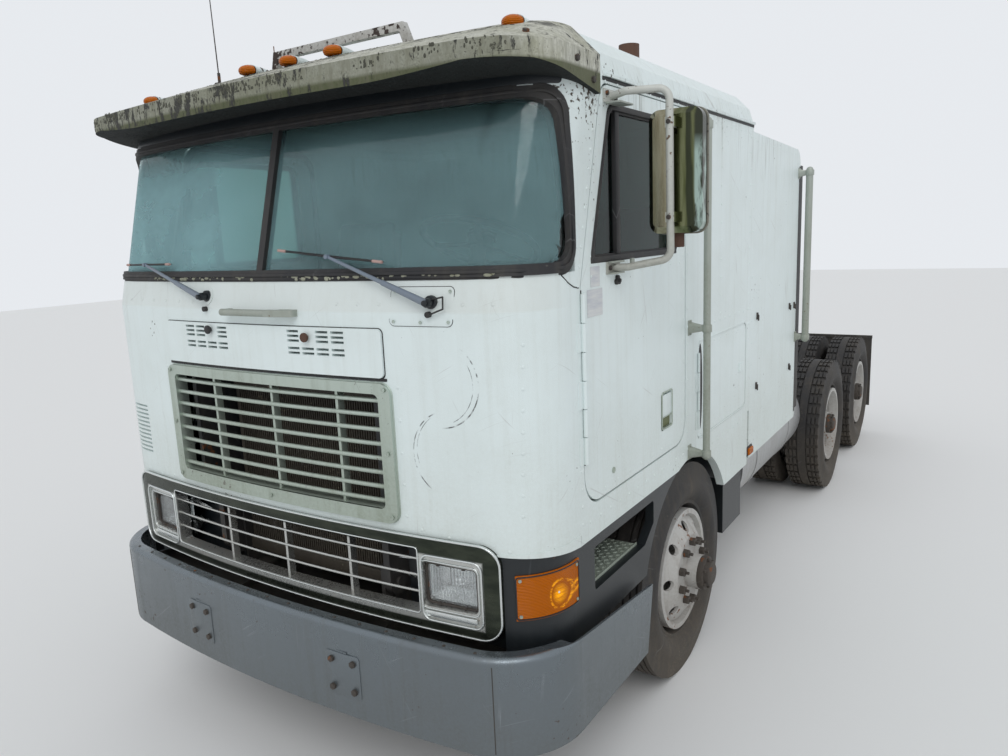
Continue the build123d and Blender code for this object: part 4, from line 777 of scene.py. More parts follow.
def rod(start, end, radius, sides=16):
    """A round bar between two points."""
    start, end = Vector(start), Vector(end)
    turn = (end - start).to_track_quat("Z", "Y").to_euler()
    return shape(
        "cylinder", vertices=sides, radius=radius, depth=(end - start).length,
        location=(start + end) / 2, rotation=turn,
    )


def middle_of(part):
    """The middle of a face, an edge or a point."""
    if isinstance(part, bmesh.types.BMVert):
        return part.co
    corners = [corner.co for corner in part.verts]
    return sum(corners, Vector()) / len(corners)


def faces_up(part):
    return part.normal.z > 0.9


def pick(piece, kind="VERT", test=lambda part: True):
    """Edit mode, with the faces, edges or points selected that pass the test."""
    alone(piece)
    bpy.ops.object.mode_set(mode="EDIT")
    bpy.ops.mesh.select_mode(type=kind)
    bpy.ops.mesh.select_all(action="DESELECT")
    form = bmesh.from_edit_mesh(piece.data)
    form.normal_update()
    for part in {"VERT": form.verts, "EDGE": form.edges, "FACE": form.faces}[kind]:
        part.select = bool(test(part))
    form.select_flush_mode()
    bmesh.update_edit_mesh(piece.data)
    return piece


def push(*move):
    """Moves what is picked."""
    bpy.ops.transform.translate(value=move)


def resize(size, centre=None):
    """Resizes what is picked, about a centre if there is one."""
    bpy.ops.transform.resize(value=size, **({"center_override": centre} if centre else {}))


def inset(thickness, *move):
    """Insets the picked faces, and moves them if a move is given."""
    bpy.ops.mesh.inset(thickness=thickness)
    if move:
        push(*move)


def delete(piece, test):
    """Takes away the faces that pass the test."""
    pick(piece, "FACE", test)
    bpy.ops.mesh.delete(type="FACE")
    object_mode()


def modify(piece, kind, **settings):
    """Adds a modifier and applies it."""
    alone(piece)
    added = piece.modifiers.new(kind.lower(), kind)
    for key, value in settings.items():
        setattr(added, key, value)
    bpy.ops.object.modifier_apply(modifier=added.name)
    return piece


def soften(piece, width, **settings):
    """Rounds the edges a little."""
    return modify(piece, "BEVEL", width=width, segments=2, **settings)


def soften_sharp(piece, width):
    """Rounds the edges a little where faces meet at more than 30 degrees."""
    return soften(piece, width, limit_method="ANGLE")


def joined(pieces):
    """Several pieces as one."""
    alone(pieces[0])
    for other in pieces[1:]:
        other.select_set(True)
    if len(pieces) > 1:
        bpy.ops.object.join()
    return pieces[0]


def twin_of(piece):
    """A copy with its own mesh."""
    twin = piece.copy()
    twin.data = piece.data.copy()
    bpy.context.collection.objects.link(twin)
    return twin


def copies(piece, moves):
    """The piece once for each matrix, every copy with its own mesh, joined. The first one goes."""
    object_mode()
    made = []
    for move in moves:
        twin = twin_of(piece)
        twin.data.transform(move)
        if move.determinant() < 0:
            twin.data.flip_normals()
        made.append(twin)
    bpy.data.objects.remove(piece)
    return joined(made)


def moved(piece, matrix):
    """The piece with its points moved by a matrix."""
    object_mode()
    piece.data.transform(matrix)
    return piece


def outwards(piece):
    """Merges doubles and turns every face outwards."""
    pick(piece)
    bpy.ops.mesh.remove_doubles(threshold=0.00001)
    bpy.ops.mesh.normals_make_consistent(inside=False)
    object_mode()
    return piece


def finished(piece, name, body, slot, paint=None, angle=35, stands_for=()):
    """Names, smooths and paints a piece, or a list as one piece, and hands it to its body. The paint is a
    material or a name, and the slot's own if none is given."""
    piece = joined(piece) if isinstance(piece, list) else piece
    alone(piece)
    bpy.ops.object.transform_apply(location=True, rotation=True, scale=True)
    bpy.ops.object.shade_smooth_by_angle(angle=radians(angle))
    piece.name = name
    piece.data.name = name
    piece.data.materials.clear()
    piece.data.materials.append(PAINTS.get(paint, paint) or PAINTS[slot])
    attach(piece, body)
    for node in stands_for:
        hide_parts(node)
    return piece


def shift(x, y, z):
    return Matrix.Translation((x, y, z))


def on_surface(place, normal, size=1):
    """The matrix that stands a piece made on the XY plane on a surface."""
    turn = Vector(normal).to_track_quat("Z", "Y").to_matrix().to_4x4()
    return Matrix.Translation(place) @ turn @ Matrix.Scale(size, 4)


def on_side(side, low, high):
    """Two values of X on one side of the truck, the lower one first."""
    return sorted((side * low, side * high))


# %% [markdown]
# ## Tyres
# The front tyres have plain ribs, and the driven twins have cross lugs. A ring is the section: it is
# squared off where the tread lies and spun about the axle. Bevelled edges become the grooves, and the
# faces between them are lifted to the rolling radius.

# %% Tyres with tread
TREAD_STEPS = 120
SECTION_POINTS = 28
TREAD_DEPTH = 0.014
TREAD_HALF = 0.118
BEAD_RADIUS = 0.288
WALL_HALF = 0.139
GROOVE_HALF = 0.005
LUG_PITCH = 3
MIDDLE_RIB_HALF = 0.04


def tyre(lugs):
    """A tyre on the middle plane, its axle along X, with ribs or with cross lugs."""
    casing_radius = TYRE_RADIUS - TREAD_DEPTH
    half = (casing_radius - BEAD_RADIUS) / 2
    level = TYRE_RADIUS + (casing_radius + BEAD_RADIUS) / 2
    casing = shape("circle", vertices=SECTION_POINTS, radius=1, rotation=(radians(90), 0, 0))
    pick(casing)
    resize((WALL_HALF, 1, half))
    push(0, 0, level)
    pick(casing, "VERT", lambda part: part.co.z > level + half * 0.6)
    resize((1.09, 1, 0), (0, 0, level + half))
    pick(casing, "VERT", lambda part: part.co.z < level - half * 0.75)
    resize((1.25, 1, 1), (0, 0, level - half))
    pick(casing)
    bpy.ops.mesh.spin(steps=TREAD_STEPS, angle=2 * pi, center=(0, 0, TYRE_RADIUS), axis=(1, 0, 0))
    outwards(casing)

    def on_tread(part):
        spot = middle_of(part)
        return hypot(spot.y, spot.z - TYRE_RADIUS) > casing_radius - 0.003

    def groove_edge(part):
        low, high = sorted(abs(corner.co.x) for corner in part.verts)
        return on_tread(part) and high - low < 0.0001 and 0.02 < low < TREAD_HALF - 0.01

    def lifted(part):
        spot = middle_of(part)
        across = [abs(corner.co.x) for corner in part.verts]
        wide = max(across) - min(across) >= 3 * GROOVE_HALF
        if not on_tread(part) or max(across) > TREAD_HALF + 0.001 or not wide:
            return False
        turn = atan2(spot.z - TYRE_RADIUS, spot.y) % (2 * pi)
        step = int(turn / (2 * pi) * TREAD_STEPS) + (spot.x > 0)
        return not lugs or abs(spot.x) < MIDDLE_RIB_HALF or step % LUG_PITCH != 0

    pick(casing, "EDGE", groove_edge)
    bpy.ops.mesh.bevel(offset=GROOVE_HALF, segments=1)
    pick(casing, "FACE", lifted)
    bpy.ops.mesh.extrude_region_move()
    grow = TYRE_RADIUS / casing_radius
    resize((0.985, grow, grow), (0, 0, TYRE_RADIUS))
    object_mode()
    return casing


AXLE_FRONT_Y = back(1.45)
AXLES_REAR_Y = (back(4.54), back(5.86))
FRONT_WHEEL_X = 0.99
TWIN_X = (1.08, 0.75)

ribbed, lugged = tyre(lugs=False), tyre(lugs=True)
print("faces of one ribbed and one lugged tyre:", len(ribbed.data.polygons), len(lugged.data.polygons))
for side, word in SIDES:
    wheels = [(ribbed, f"front_{word}", f"tyre_front_{word}", AXLE_FRONT_Y, [FRONT_WHEEL_X])]
    for number, y in enumerate(AXLES_REAR_Y, start=1):
        wheels.append((lugged, f"rear_{word}_{number}", f"twin_tyres_{word}_{number}", y, TWIN_X))
    for pattern, name, node, y, places in wheels:
        worn = copies(pattern.copy(), [shift(side * x, y, 0) for x in places])
        finished(worn, f"tread_{name}", f"wheel_{name}", "tyre_rubber", angle=28, stands_for=[node])
for pattern in (ribbed, lugged):
    bpy.data.objects.remove(pattern)

# %% [markdown]
# ## Wheel nuts and hubs
# Each wheel hangs on ten studs. One nut is modelled and copied round the bolt circle. The front hub ends
# in an oil cap with small bolts, and each driven hub in the bolted flange of its half shaft.

# %% Nuts, oil caps and shaft flanges
STUDS = 10
BOLT_CIRCLE = 0.1425
NUT_RADIUS = 0.0205
NUT_HIGH = 0.024
CAP_LONG = 0.03


def nut(stud=0.016, size=1):
    """A hexagon nut with its stud, standing on the XY plane."""
    body = shape("cylinder", vertices=6, radius=NUT_RADIUS, depth=NUT_HIGH, location=(0, 0, NUT_HIGH / 2))
    pick(body, "FACE", faces_up)
    inset(0.004, 0, 0, 0.003)
    inset(0.007)
    bpy.ops.mesh.extrude_region_move(TRANSFORM_OT_translate={"value": (0, 0, stud)})
    return moved(body, Matrix.Scale(size, 4))


def round_hub(piece, x, y, side, count, radius):
    """The piece that stands on XY, copied round an axle on a face that looks outwards."""
    moves = []
    for i in range(count):
        turn = 2 * pi * (i + 0.5) / count
        place = (x, y + radius * cos(turn), TYRE_RADIUS + radius * sin(turn))
        moves.append(on_surface(place, (side, 0, 0)))
    return copies(piece, moves)


def hub(name, side, y, slot, nuts_x, cap_x, stud, size, count, circle):
    """The nuts of a wheel, the domed cap in its middle, and small bolts on the cap. The cap is a cylinder
    whose end is inset and pulled out, then bevelled."""
    nuts_x, cap_x = side * nuts_x, side * cap_x
    cap = rod((cap_x, y, TYRE_RADIUS), (cap_x + side * CAP_LONG, y, TYRE_RADIUS), 0.078, 40)
    pick(cap, "FACE", lambda part: part.normal.x * side > 0.9)
    inset(0.02)
    bpy.ops.mesh.extrude_region_move(TRANSFORM_OT_translate={"value": (side * 0.02, 0, 0)})
    inset(0.014, side * 0.008, 0, 0)
    soften(cap, 0.003)
    pieces = [round_hub(nut(), nuts_x, y, side, STUDS, BOLT_CIRCLE), cap]
    pieces.append(round_hub(nut(stud, size), cap_x + side * 0.029, y, side, count, circle))
    finished(pieces, name.replace("wheel_", "").replace("_", "_hub_", 1), name, slot, "cast_parts")


for side, word in SIDES:
    # Columns: x of the nuts, x of the cap, the small bolts' stud, size, number and circle
    front = (FRONT_WHEEL_X + 0.1495, FRONT_WHEEL_X + 0.204, 0.004, 0.42, 6, 0.068)
    rear = (TWIN_X[0] - 0.142, TWIN_X[0] + 0.089, 0.012, 0.5, 8, 0.067)
    hub(f"wheel_front_{word}", side, AXLE_FRONT_Y, "wheel_paint", *front)
    for number, y in enumerate(AXLES_REAR_Y, start=1):
        hub(f"wheel_rear_{word}_{number}", side, y, "cast_parts", *rear)
print("hubs:", 2 + 2 * len(AXLES_REAR_Y))

# %% [markdown]
# ## Rivets
# Rows of domed heads run down the cab's corners, round the doors and along the sill. One head is half a
# sphere, pressed flat, and each row names a line and how many heads sit on it.

# %% Rows of domed heads
def head(radius=0.0055):
    """A domed head on the XY plane."""
    dome = shape("uv_sphere", segments=10, ring_count=6, radius=radius)
    delete(dome, lambda part: middle_of(part).z < 0)
    pick(dome)
    resize((1, 1, 0.5), (0, 0, 0))
    return dome


def along(rows):
    """Places on lines. Rows: first place, last place, how many."""
    spots = []
    for start, end, count in rows:
        gaps = max(1, count - 1)
        spots += [tuple(a + (b - a) * i / gaps for a, b in zip(start, end)) for i in range(count)]
    return spots


def side_spots(rows, x, side):
    """Matrices for heads on a flat side, in rows of (behind the nose, z)."""
    return [on_surface((side * x, back(y), z), (side, 0, 0)) for y, z in along(rows)]


# Columns: first place, last place, count
FRONT_ROWS = [
    ((1.076, 1.778), (1.06, 1.22), 9),
    ((-1.076, 1.778), (-1.06, 1.52), 5),
    ((0.64, 1.63), (0.64, 1.18), 5),
    ((-0.64, 1.63), (-0.64, 1.18), 5),
    ((-1.02, 1.1), (-0.7, 1.137), 4),
    ((0.7, 1.137), (1.02, 1.1), 4),
    ((-0.9, 1.905), (-0.4, 1.905), 6),
    ((0.4, 1.905), (0.58, 1.905), 3),
    ((0.9, 1.905), (1, 1.905), 2),
]
SIDE_ROWS = [
    ((0.366, 1.12), (0.366, 1.31), 4),
    ((0.366, 1.94), (0.5, 2.44), 9),
    ((0.42, 1.11), (1.34, 1.11), 12),
    ((1.392, 1.12), (1.392, 2.56), 19),
    ((1.45, 1.66), (2.33, 1.66), 12),
    ((1.49, 1.06), (2.34, 1.06), 11),
    ((2.345, 1.09), (2.345, 2.56), 19),
    ((1.86, 1.69), (1.86, 2.56), 11),
    ((1.45, 2.578), (2.33, 2.578), 12),
    ((0.6, 2.606), (1.38, 2.606), 9),
]
DOOR_ROWS = [
    ((0.44, 1.2), (1.31, 1.2), 9),
    ((1.345, 1.26), (1.345, 2.54), 15),
    ((0.47, 1.965), (1.3, 1.965), 9),
]
HATCH_ROWS = [
    ((1.58, 1.15), (2.25, 1.15), 8),
    ((1.58, 1.57), (2.25, 1.57), 8),
    ((2.282, 1.19), (2.282, 1.53), 4),
]
FAIRING_ROWS = [
    ((2.42, 0.85), (2.42, 2.56), 15),
    ((3.4, 0.85), (3.4, 2.48), 15),
    ((2.48, 2.545), (3.34, 2.53), 9),
    ((2.48, 0.83), (3.38, 0.83), 9),
]
PRESSED_IN = 0.0005
spots = [on_surface(skin(x, z, -PRESSED_IN), skin_normal(x, z)) for x, z in along(FRONT_ROWS)]
spots += side_spots(SIDE_ROWS, CAB_HALF, 1) + side_spots(SIDE_ROWS, CAB_HALF, -1)
finished(copies(head(0.0065), spots), "cab_rivets", "cab", "white_paint")
fairing_spots = []
for side, word in SIDES:
    fairing_spots += side_spots(FAIRING_ROWS, 1.142, side)
    for part, rows in (("door", DOOR_ROWS), ("hatch", HATCH_ROWS)):
        heads = copies(head(), side_spots(rows, CAB_HALF - 0.002, side))
        finished(heads, f"{part}_rivets_{word}", f"{part}_{word}", "white_paint")
finished(copies(head(), fairing_spots), "fairing_rivets", "cab", "white_paint")
print("heads on the cab:", len(spots))

# %% [markdown]
# ## Wrapping trim round the front
# Trim that follows the bowed front is modelled flat, as if the skin were unrolled: X runs along the
# skin, Z is height and negative Y is distance outwards. One function rolls the mesh round the bow and the
# corner. Long pieces are cut across first, so that they can bend.

# %% Unrolled skin
SCREEN_END_Y = back(0.352)


def unrolled_end(z, y):
    """How far along the skin, from the middle, the side reaches this Y."""
    cx, cy, radius, lean = corner_centre(z)
    bend = asin(cx / (BOW_RADIUS - radius))
    return BOW_RADIUS * bend + radius * (pi / 2 - bend) + y - cy


def rolled(s, z, out):
    """The point of the cab that lies this far along its skin."""
    cx, cy, radius, lean = corner_centre(z)
    side, s = (-1, -s) if s < 0 else (1, s)
    bend = asin(cx / (BOW_RADIUS - radius))
    bow = BOW_RADIUS * bend
    corner = radius * (pi / 2 - bend)
    if s <= bow:
        angle, reach = s / BOW_RADIUS, BOW_RADIUS + out
        x, y = reach * sin(angle), back(lean) + BOW_RADIUS - reach * cos(angle)
    elif s <= bow + corner:
        angle, reach = bend + (s - bow) / radius, radius + out
        x, y = cx + reach * sin(angle), cy - reach * cos(angle)
    else:
        x, y = CAB_HALF + out, cy + s - bow - corner
    return Vector((side * x, y, z))


def on_rolled(s, z, out):
    """The matrix that stands a piece on the skin, this far along it."""
    return on_surface(rolled(s, z, out), rolled(s, z, 0.02) - rolled(s, z, 0))


def sliced(piece, axis, places):
    """Cuts a mesh across an axis at each place, so that it can bend there."""
    direction = Vector((axis == "X", axis == "Y", axis == "Z"))
    for place in places:
        pick(piece, "FACE")
        bpy.ops.mesh.bisect(plane_co=direction * place, plane_no=direction)
    object_mode()
    return piece


def steps(low, high, gap):
    """Places from low to high, about this far apart."""
    count = max(1, round((high - low) / gap))
    return [low + (high - low) * i / count for i in range(count + 1)]


def roll(piece, cuts=()):
    """Rolls a flat mesh onto the front, cut across before that if cuts holds low, high and gap."""
    if cuts:
        sliced(piece, "X", steps(*cuts))
    alone(piece)
    for point in piece.data.vertices:
        point.co = rolled(point.co.x, point.co.z, -point.co.y)
    return piece


def four_corners(outline):
    """An outline as four places: it is given so, or as two lowest and highest values."""
    if isinstance(outline[0], tuple):
        return outline
    low, high, z_low, z_high = outline
    return [(low, z_low), (high, z_low), (low, z_high), (high, z_high)]


def sheet(outline, radius, arc, y=0):
    """A flat face in the XZ plane, round at its corners."""
    made = shape("plane", size=1, rotation=(radians(90), 0, 0))
    points = sorted(made.data.vertices, key=lambda p: (p.co.z, p.co.x))
    for point, corner in zip(points, four_corners(outline)):
        point.co = Vector((corner[0], y, corner[1]))
    pick(made)
    bpy.ops.mesh.bevel(offset=radius, segments=arc, affect="VERTICES")
    return made


def panel(outline, radius, out, thick, opening=0, edge=0.001, arc=6):
    """A flat plate that stands out of the skin from out - thick to out. With opening, only a rim of that
    width is left."""
    plate = sheet(outline, radius, arc)
    if opening:
        pick(plate, "FACE")
        inset(opening)
        bpy.ops.mesh.delete(type="FACE")
    pick(plate, "FACE")
    push(0, -out, 0)
    modify(plate, "SOLIDIFY", thickness=thick, offset=-1)
    if edge:
        soften(plate, edge, limit_method="ANGLE", angle_limit=radians(40))
    return plate


def screw(radius=0.006):
    """A pan head with its slot, standing on the XY plane."""
    knob = shape("cylinder", vertices=14, radius=radius, depth=radius * 0.7, location=(0, 0, radius * 0.35))
    soften_sharp(knob, radius * 0.22)
    pick(knob, "FACE", faces_up)
    inset(radius * 0.35, 0, 0, -radius * 0.25)
    return knob


# %% [markdown]
# ## Windscreen rubber
# The panes sit in one thick rubber section. Its filler strip is a round bead all the way round, and it
# has a lip that lies on the paint.

# %% Filler bead and outer lip
SCREEN_Z = (1.99, 2.565)
RING_HALF = 1.3
HEADER_TOP = 2.64


def seal_ring(inside, width, out, thick, corner):
    """A ring that runs round the windscreen's rubber at this distance inside its outer edge."""
    outline = (-RING_HALF, RING_HALF, SCREEN_Z[0] + inside, SCREEN_Z[1] - inside)
    ring = panel(outline, corner, out, thick, width, 0.002, 8)
    for point in ring.data.vertices:
        edge = unrolled_end(point.co.z, SCREEN_END_Y) - inside
        side = 1 if point.co.x > 0 else -1
        if abs(point.co.x) > RING_HALF - corner - 0.02:
            point.co.x = side * (edge - (RING_HALF - abs(point.co.x)))
    return roll(ring, (-1.08, 1.08, 0.09))


bead = seal_ring(0.011, 0.011, 0.0125, 0.008, 0.074)
lip = seal_ring(-0.007, 0.01, 0.0035, 0.004, 0.09)
finished([bead, lip], "windscreen_bead", "cab", "black_rubber")

# A black panel from the rubber's top up to the visor: painted shade under the visor, over the rubber's own
# black.
half = unrolled_end(2.6, SCREEN_END_Y) - 0.004
header = panel((-half, half, SCREEN_Z[1] + 0.004, HEADER_TOP), 0.012, 0.003, 0.004)
finished(roll(header, (-half + 0.03, half - 0.03, 0.024)), "screen_header", "cab", "black_paint")

# A thin copy of the windscreen's front carries the painted sky light.
pane = twin_of(nodes["windscreen_glass"])
pick(pane)
bpy.ops.mesh.remove_doubles(threshold=0.00001)
delete(pane, lambda part: part.normal.y > -0.25)
moved(pane, shift(0, -0.0006, 0))
modify(pane, "SOLIDIFY", thickness=0.0003, offset=1)
finished(pane, "windscreen_film", "cab", "tinted_glass", glass_film())

# %% [markdown]
# ## Moss on the rubber
# Small pale clumps grow along the lower edge of the rubber, in two broken rows. Each is a low sphere
# whose place and size are seeded random numbers.

# %% Clumps along the lower edge
MOSS = finish(
    "moss", (0.42, 0.42, 0.33), (0.1, 0.11, 0.06), 0.9, (1.9, 2.1), (0.16, 0.15, 0.09), 220, 0.5,
    rough=(0.9, 1), peel=1, depth=0.002,
)
MOSS_ROWS = ((-0.72, -0.02, 46), (0.12, 1.02, 60))
dice = random.Random(7)
clumps = []
for low, high, count in MOSS_ROWS:
    for i in range(count):
        x = low + (high - low) * dice.random()
        z = SCREEN_Z[0] + dice.uniform(0, 0.014)
        spot = on_surface(rolled(x, z, 0.006), skin_normal(x, z), dice.uniform(0.4, 1.25))
        clumps.append(spot @ Matrix.Diagonal((dice.uniform(0.8, 2.2), 1, 0.55, 1)))
moss = copies(shape("ico_sphere", subdivisions=2, radius=0.006), clumps)
modify(moss, "SUBSURF", levels=1, render_levels=1)
finished(moss, "seal_moss", "cab", "black_rubber", MOSS, angle=60)
print("clumps:", len(clumps))

# %% [markdown]
# ## Chrome lips of the lower grille
# The chrome surround has a bright rolled lip round its outside and one round each lamp bay.

# %% Rolled lips, bezels and lamp rings
BAND_HALF = 0.999
BAND_Z = (0.78, 1.122)
LAMP_BAY = (0.694, 0.936, 0.816, 1.06)
LENS = (0.704, 0.904, 0.874, 1.02)


def grown(low, high, z_low, z_high, out, z_out):
    """An outline that is larger by out at its sides and by z_out at its foot and top."""
    return low - out, high + out, z_low - z_out, z_high + z_out


outer_lip = panel((-BAND_HALF, BAND_HALF, *BAND_Z), 0.074, 0.0205, 0.012, 0.007, 0.0025, 8)
slat_lip = panel((-0.688, 0.688, 0.834, 1.08), 0.014, 0.0195, 0.008, 0.005, 0.002, 4)
lips = [roll(ring, (-0.9, 0.9, 0.1)) for ring in (outer_lip, slat_lip)]
for side, word in SIDES:
    bay = panel((*on_side(side, *LAMP_BAY[:2]), *LAMP_BAY[2:]), 0.034, 0.021, 0.016, 0.007, 0.0025, 6)
    low, high = on_side(side, *LENS[:2])
    frame_of_lens = (low - 0.016, high + 0.016, LENS[2] - 0.018, LENS[3] + 0.016)
    step = panel(frame_of_lens, 0.026, 0.0125, 0.01, 0.005, 0.002, 6)
    shelf = (low - 0.004, high + 0.004, LENS[2] - 0.044, LENS[2] - 0.022)
    ledge = panel(shelf, 0.006, 0.0145, 0.006, 0, 0.002, 3)
    lips += [roll(ring, (low, high, 0.08)) for ring in (bay, step, ledge)]
finished(lips, "chrome_lips", "cab", "chrome_trim", BRIGHT_CHROME, angle=50)

# %% [markdown]
# ## Headlamps
# The solid is the lens and stays as clear glass. A bowl of bright metal goes behind it, from a rounded
# plate whose middle is inset and pushed back in steps. A clamp ring with four clips holds the lens.

# %% Reflector bowls and clamp rings
BOWL_DEPTH = 0.036
BULB = (0.018, 0.072, 0.945)
bowls, rings = [], []
for side, word in SIDES:
    low, high = on_side(side, *LENS[:2])
    bowl = sheet(grown(low, high, *LENS[2:], -0.004, -0.004), 0.018, 5, BOWL_DEPTH)
    pick(bowl, "FACE")
    for thickness, deep in ((0.01, 0.022), (0.014, 0.016), (0.016, 0.01), (0.012, 0.004)):
        inset(thickness, 0, deep, 0)
    radius, deep, z = BULB
    bulb = shape("uv_sphere", segments=16, ring_count=10, radius=radius, location=((low + high) / 2, deep, z))
    bowls.append(roll(joined([bowl, bulb])))
    ring = panel(grown(low, high, *LENS[2:], 0.003, 0.003), 0.019, -0.004, 0.012, 0.007, 0.002, 5)
    clips = [
        bar((x - 0.006, 0, z - 0.004), (x + 0.006, 0.012, z + 0.004))
        for x in (low + 0.05, high - 0.05)
        for z in (LENS[2] + 0.002, LENS[3] - 0.002)
    ]
    rings.append(roll(joined([ring, *clips])))
finished(bowls, "lamp_bowls", "cab", "chrome_trim", REFLECTOR, angle=50)
finished(rings, "lamp_rings", "cab", "rusty_steel", "cast_parts", angle=40)

# %% [markdown]
# ## Corner lamps
# The amber lamps wrap round the black corners. A round reflector shows inside the ribbed lens, and four
# screws hold the lens over a thin rim.

# %% Rims, screws and reflectors of the amber lamps
AMBER_START = 1.04
AMBER_END = unrolled_end(0.95, back(0.318))
AMBER_Z = (0.86, 1.014)
DOME_Z = 0.935
rims, screws, domes = [], [], []
for side, word in SIDES:
    low, high = on_side(side, AMBER_START, AMBER_END)
    rims.append(roll(panel((low, high, *AMBER_Z), 0.012, 0.006, 0.005, 0.0045, 0.0012, 4), (low, high, 0.03)))
    for s in (low + 0.016, high - 0.016):
        screws += [on_rolled(s, z, 0.003) for z in (AMBER_Z[0] + 0.014, AMBER_Z[1] - 0.014)]
    dome = shape("uv_sphere", segments=28, ring_count=14, radius=0.046)
    delete(dome, lambda part: middle_of(part).z < 0.012)
    place = on_rolled((low + high) / 2 + side * 0.022, DOME_Z, -0.03)
    moved(dome, place @ Matrix.Diagonal((1, 1, 0.72, 1)))
    domes.append(modify(dome, "SOLIDIFY", thickness=0.0015))
finished(rims, "amber_rims", "cab", "black_paint")
finished(copies(screw(), screws), "amber_screws", "cab", "grille_aluminium")
finished(domes, "amber_bowls", "cab", "chrome_trim", REFLECTOR, angle=60)

# %% [markdown]
# ## Roof lamps
# A clearance lamp is bullet shaped: a short amber lens ahead of a housing that tapers to the rear. A
# sphere is stretched, its rear half more, flattened underneath, and split at the middle.

# %% Bullets on the roof
ROOF_LAMPS = (
    (-0.963, 0.33, 2.757), (-0.233, 0.275, 2.775), (0, 0.275, 2.775), (0.233, 0.275, 2.775),
    (0.963, 0.33, 2.757),
)


def bullet(front):
    """The lens or the housing of a roof lamp, along Y, its foot on the XY plane."""
    form = shape("uv_sphere", segments=28, ring_count=16, radius=1, rotation=(radians(90), 0, 0))
    delete(form, lambda part: (middle_of(part).y > 0) == front)
    pick(form)
    resize((0.036, 0.04 if front else 0.11, 0.021), (0, 0, 0))
    push(0, -0.002 if front else 0.002, 0.013)
    pick(form, "VERT", lambda part: part.co.z < 0.004)
    resize((1, 1, 0), (0, 0, 0.002))
    if not front:
        pick(form, "VERT", lambda part: part.co.y < 0.006)
        resize((1.08, 1, 1.08), (0, 0, 0.012))
    return modify(form, "SOLIDIFY", thickness=0.002, offset=1)


places = [shift(x, back(y), z) for x, y, z in ROOF_LAMPS]
lenses, housings = [copies(bullet(front), places) for front in (True, False)]
finished(lenses, "roof_lenses", "cab", "amber_lens", angle=60, stands_for=["marker_lamps"])
finished(housings, "roof_lamp_housings", "cab", "white_paint", angle=60)

# %% [markdown]
# ## Doors: rubber round the windows, and painted shade in the gaps
# A door is flat, so its trim is modelled as flat plates seen from ahead, and one function turns a plate so
# that its X runs rearwards and it stands out of the side.

# %% Window rubber, division and painted shade in the gaps
DOOR_X = 1.143
WINDOW = [(0.463, 2.008), (1.272, 2.008), (0.622, 2.54), (1.272, 2.54)]
DIVISION_Y = (0.689, 0.723)
DOOR = [(0.391, 1.172), (1.365, 1.172), (0.572, 2.596), (1.365, 2.596)]
HATCH = [(1.53, 1.13), (2.3, 1.13), (1.53, 1.59), (2.3, 1.59)]
GAP_SHADE_REACH = 0.022


def side_panel(side, outline, *settings):
    """A panel that stands out of a door's skin. Its outline is counted from the nose."""
    corners = [(back(y), z) for y, z in four_corners(outline)]
    turn = Matrix(((0, -side, 0, side * DOOR_X), (1, 0, 0, 0), (0, 0, 1, 0), (0, 0, 0, 1)))
    return copies(panel(corners, *settings), [turn])


def side_block(side, x, y, z, edge=0.0015):
    """A block with softened edges on one side: ranges of x, of distance behind the nose, and of z."""
    low, high = on_side(side, *x)
    return soften(bar((low, back(y[0]), z[0]), (high, back(y[1]), z[1])), edge)


def side_rod(side, x, y, z, radius, sides):
    """A rod that stands out of one side, over a range of x."""
    return rod((side * x[0], back(y), z), (side * x[1], back(y), z), radius, sides)


for side, word in SIDES:
    rubber = [
        side_panel(side, WINDOW, 0.045, 0.0035, 0.018, 0.02, 0.003, 7),
        side_panel(side, WINDOW, 0.045, -0.012, 0.008, 0.026, 0.0015, 7),
        side_block(side, (1.1035, 1.1385), DIVISION_Y, (2.012, 2.536), 0.003),
        side_block(side, (1.118, 1.1455), (0.47, 1.262), (2.006, 2.03), 0.004),
    ]
    finished(rubber, f"window_rubber_{word}", f"door_{word}", "black_rubber", angle=40)
    # Black rings deep in the door and hatch gaps: partly rubber seals, mostly painted shade in the gaps.
    gap_shades = []
    for outline, radius in ((DOOR, 0.11), (HATCH, 0.045)):
        middle = [sum(values) / 4 for values in zip(*outline)]
        larger = [tuple(v + copysign(GAP_SHADE_REACH, v - m) for v, m in zip(spot, middle)) for spot in outline]
        gap_shades.append(side_panel(side, larger, radius, -0.049, 0.006, 0.036, 0.0015, 7))
    finished(gap_shades, f"gap_seals_{word}", "cab", "black_rubber")
print("window corners of a door:", WINDOW)

# %% [markdown]
# ## Handles, locks and labels
# A paddle handle is a tray in a bright frame. Its grip is hinged at the top, and the finger space below
# has gone olive. The lock above is a rosette of three lobes, and two paper labels have faded.

# %% Paddle frames, rosettes, labels and hinge line
PADDLE = (1.092, 1.212, 1.277, 1.44)
CROSSBAR_Y = (1.096, 1.208)
TRAY_Y = (1.097, 1.207)
GRIP_Y = (1.102, 1.202)
LABELS = ((0.464, 0.534, 1.928, 1.997), (0.436, 0.552, 1.828, 1.921))
LOCK = (0.67, 1.937)
LOBE_OFFSET = 0.009
HINGE_LINE = ((0.3865, 0.3895), (1.325, 1.925))

LABEL, label = blank("faded_label")
grain = label.share(label.streaks(label.place(), (60, 9, 60), 3), 0.35, 0.7)
label.give(Base_Color=label.blend(grain, (0.66, 0.67, 0.66), (0.5, 0.52, 0.56)), Roughness=0.55)
ALGAE = finish(
    "algae_film", (0.17, 0.19, 0.09), (0.09, 0.1, 0.05), 0.6, (1.2, 1.5), DUST, 80, 0.3, rough=(0.6, 0.9)
)

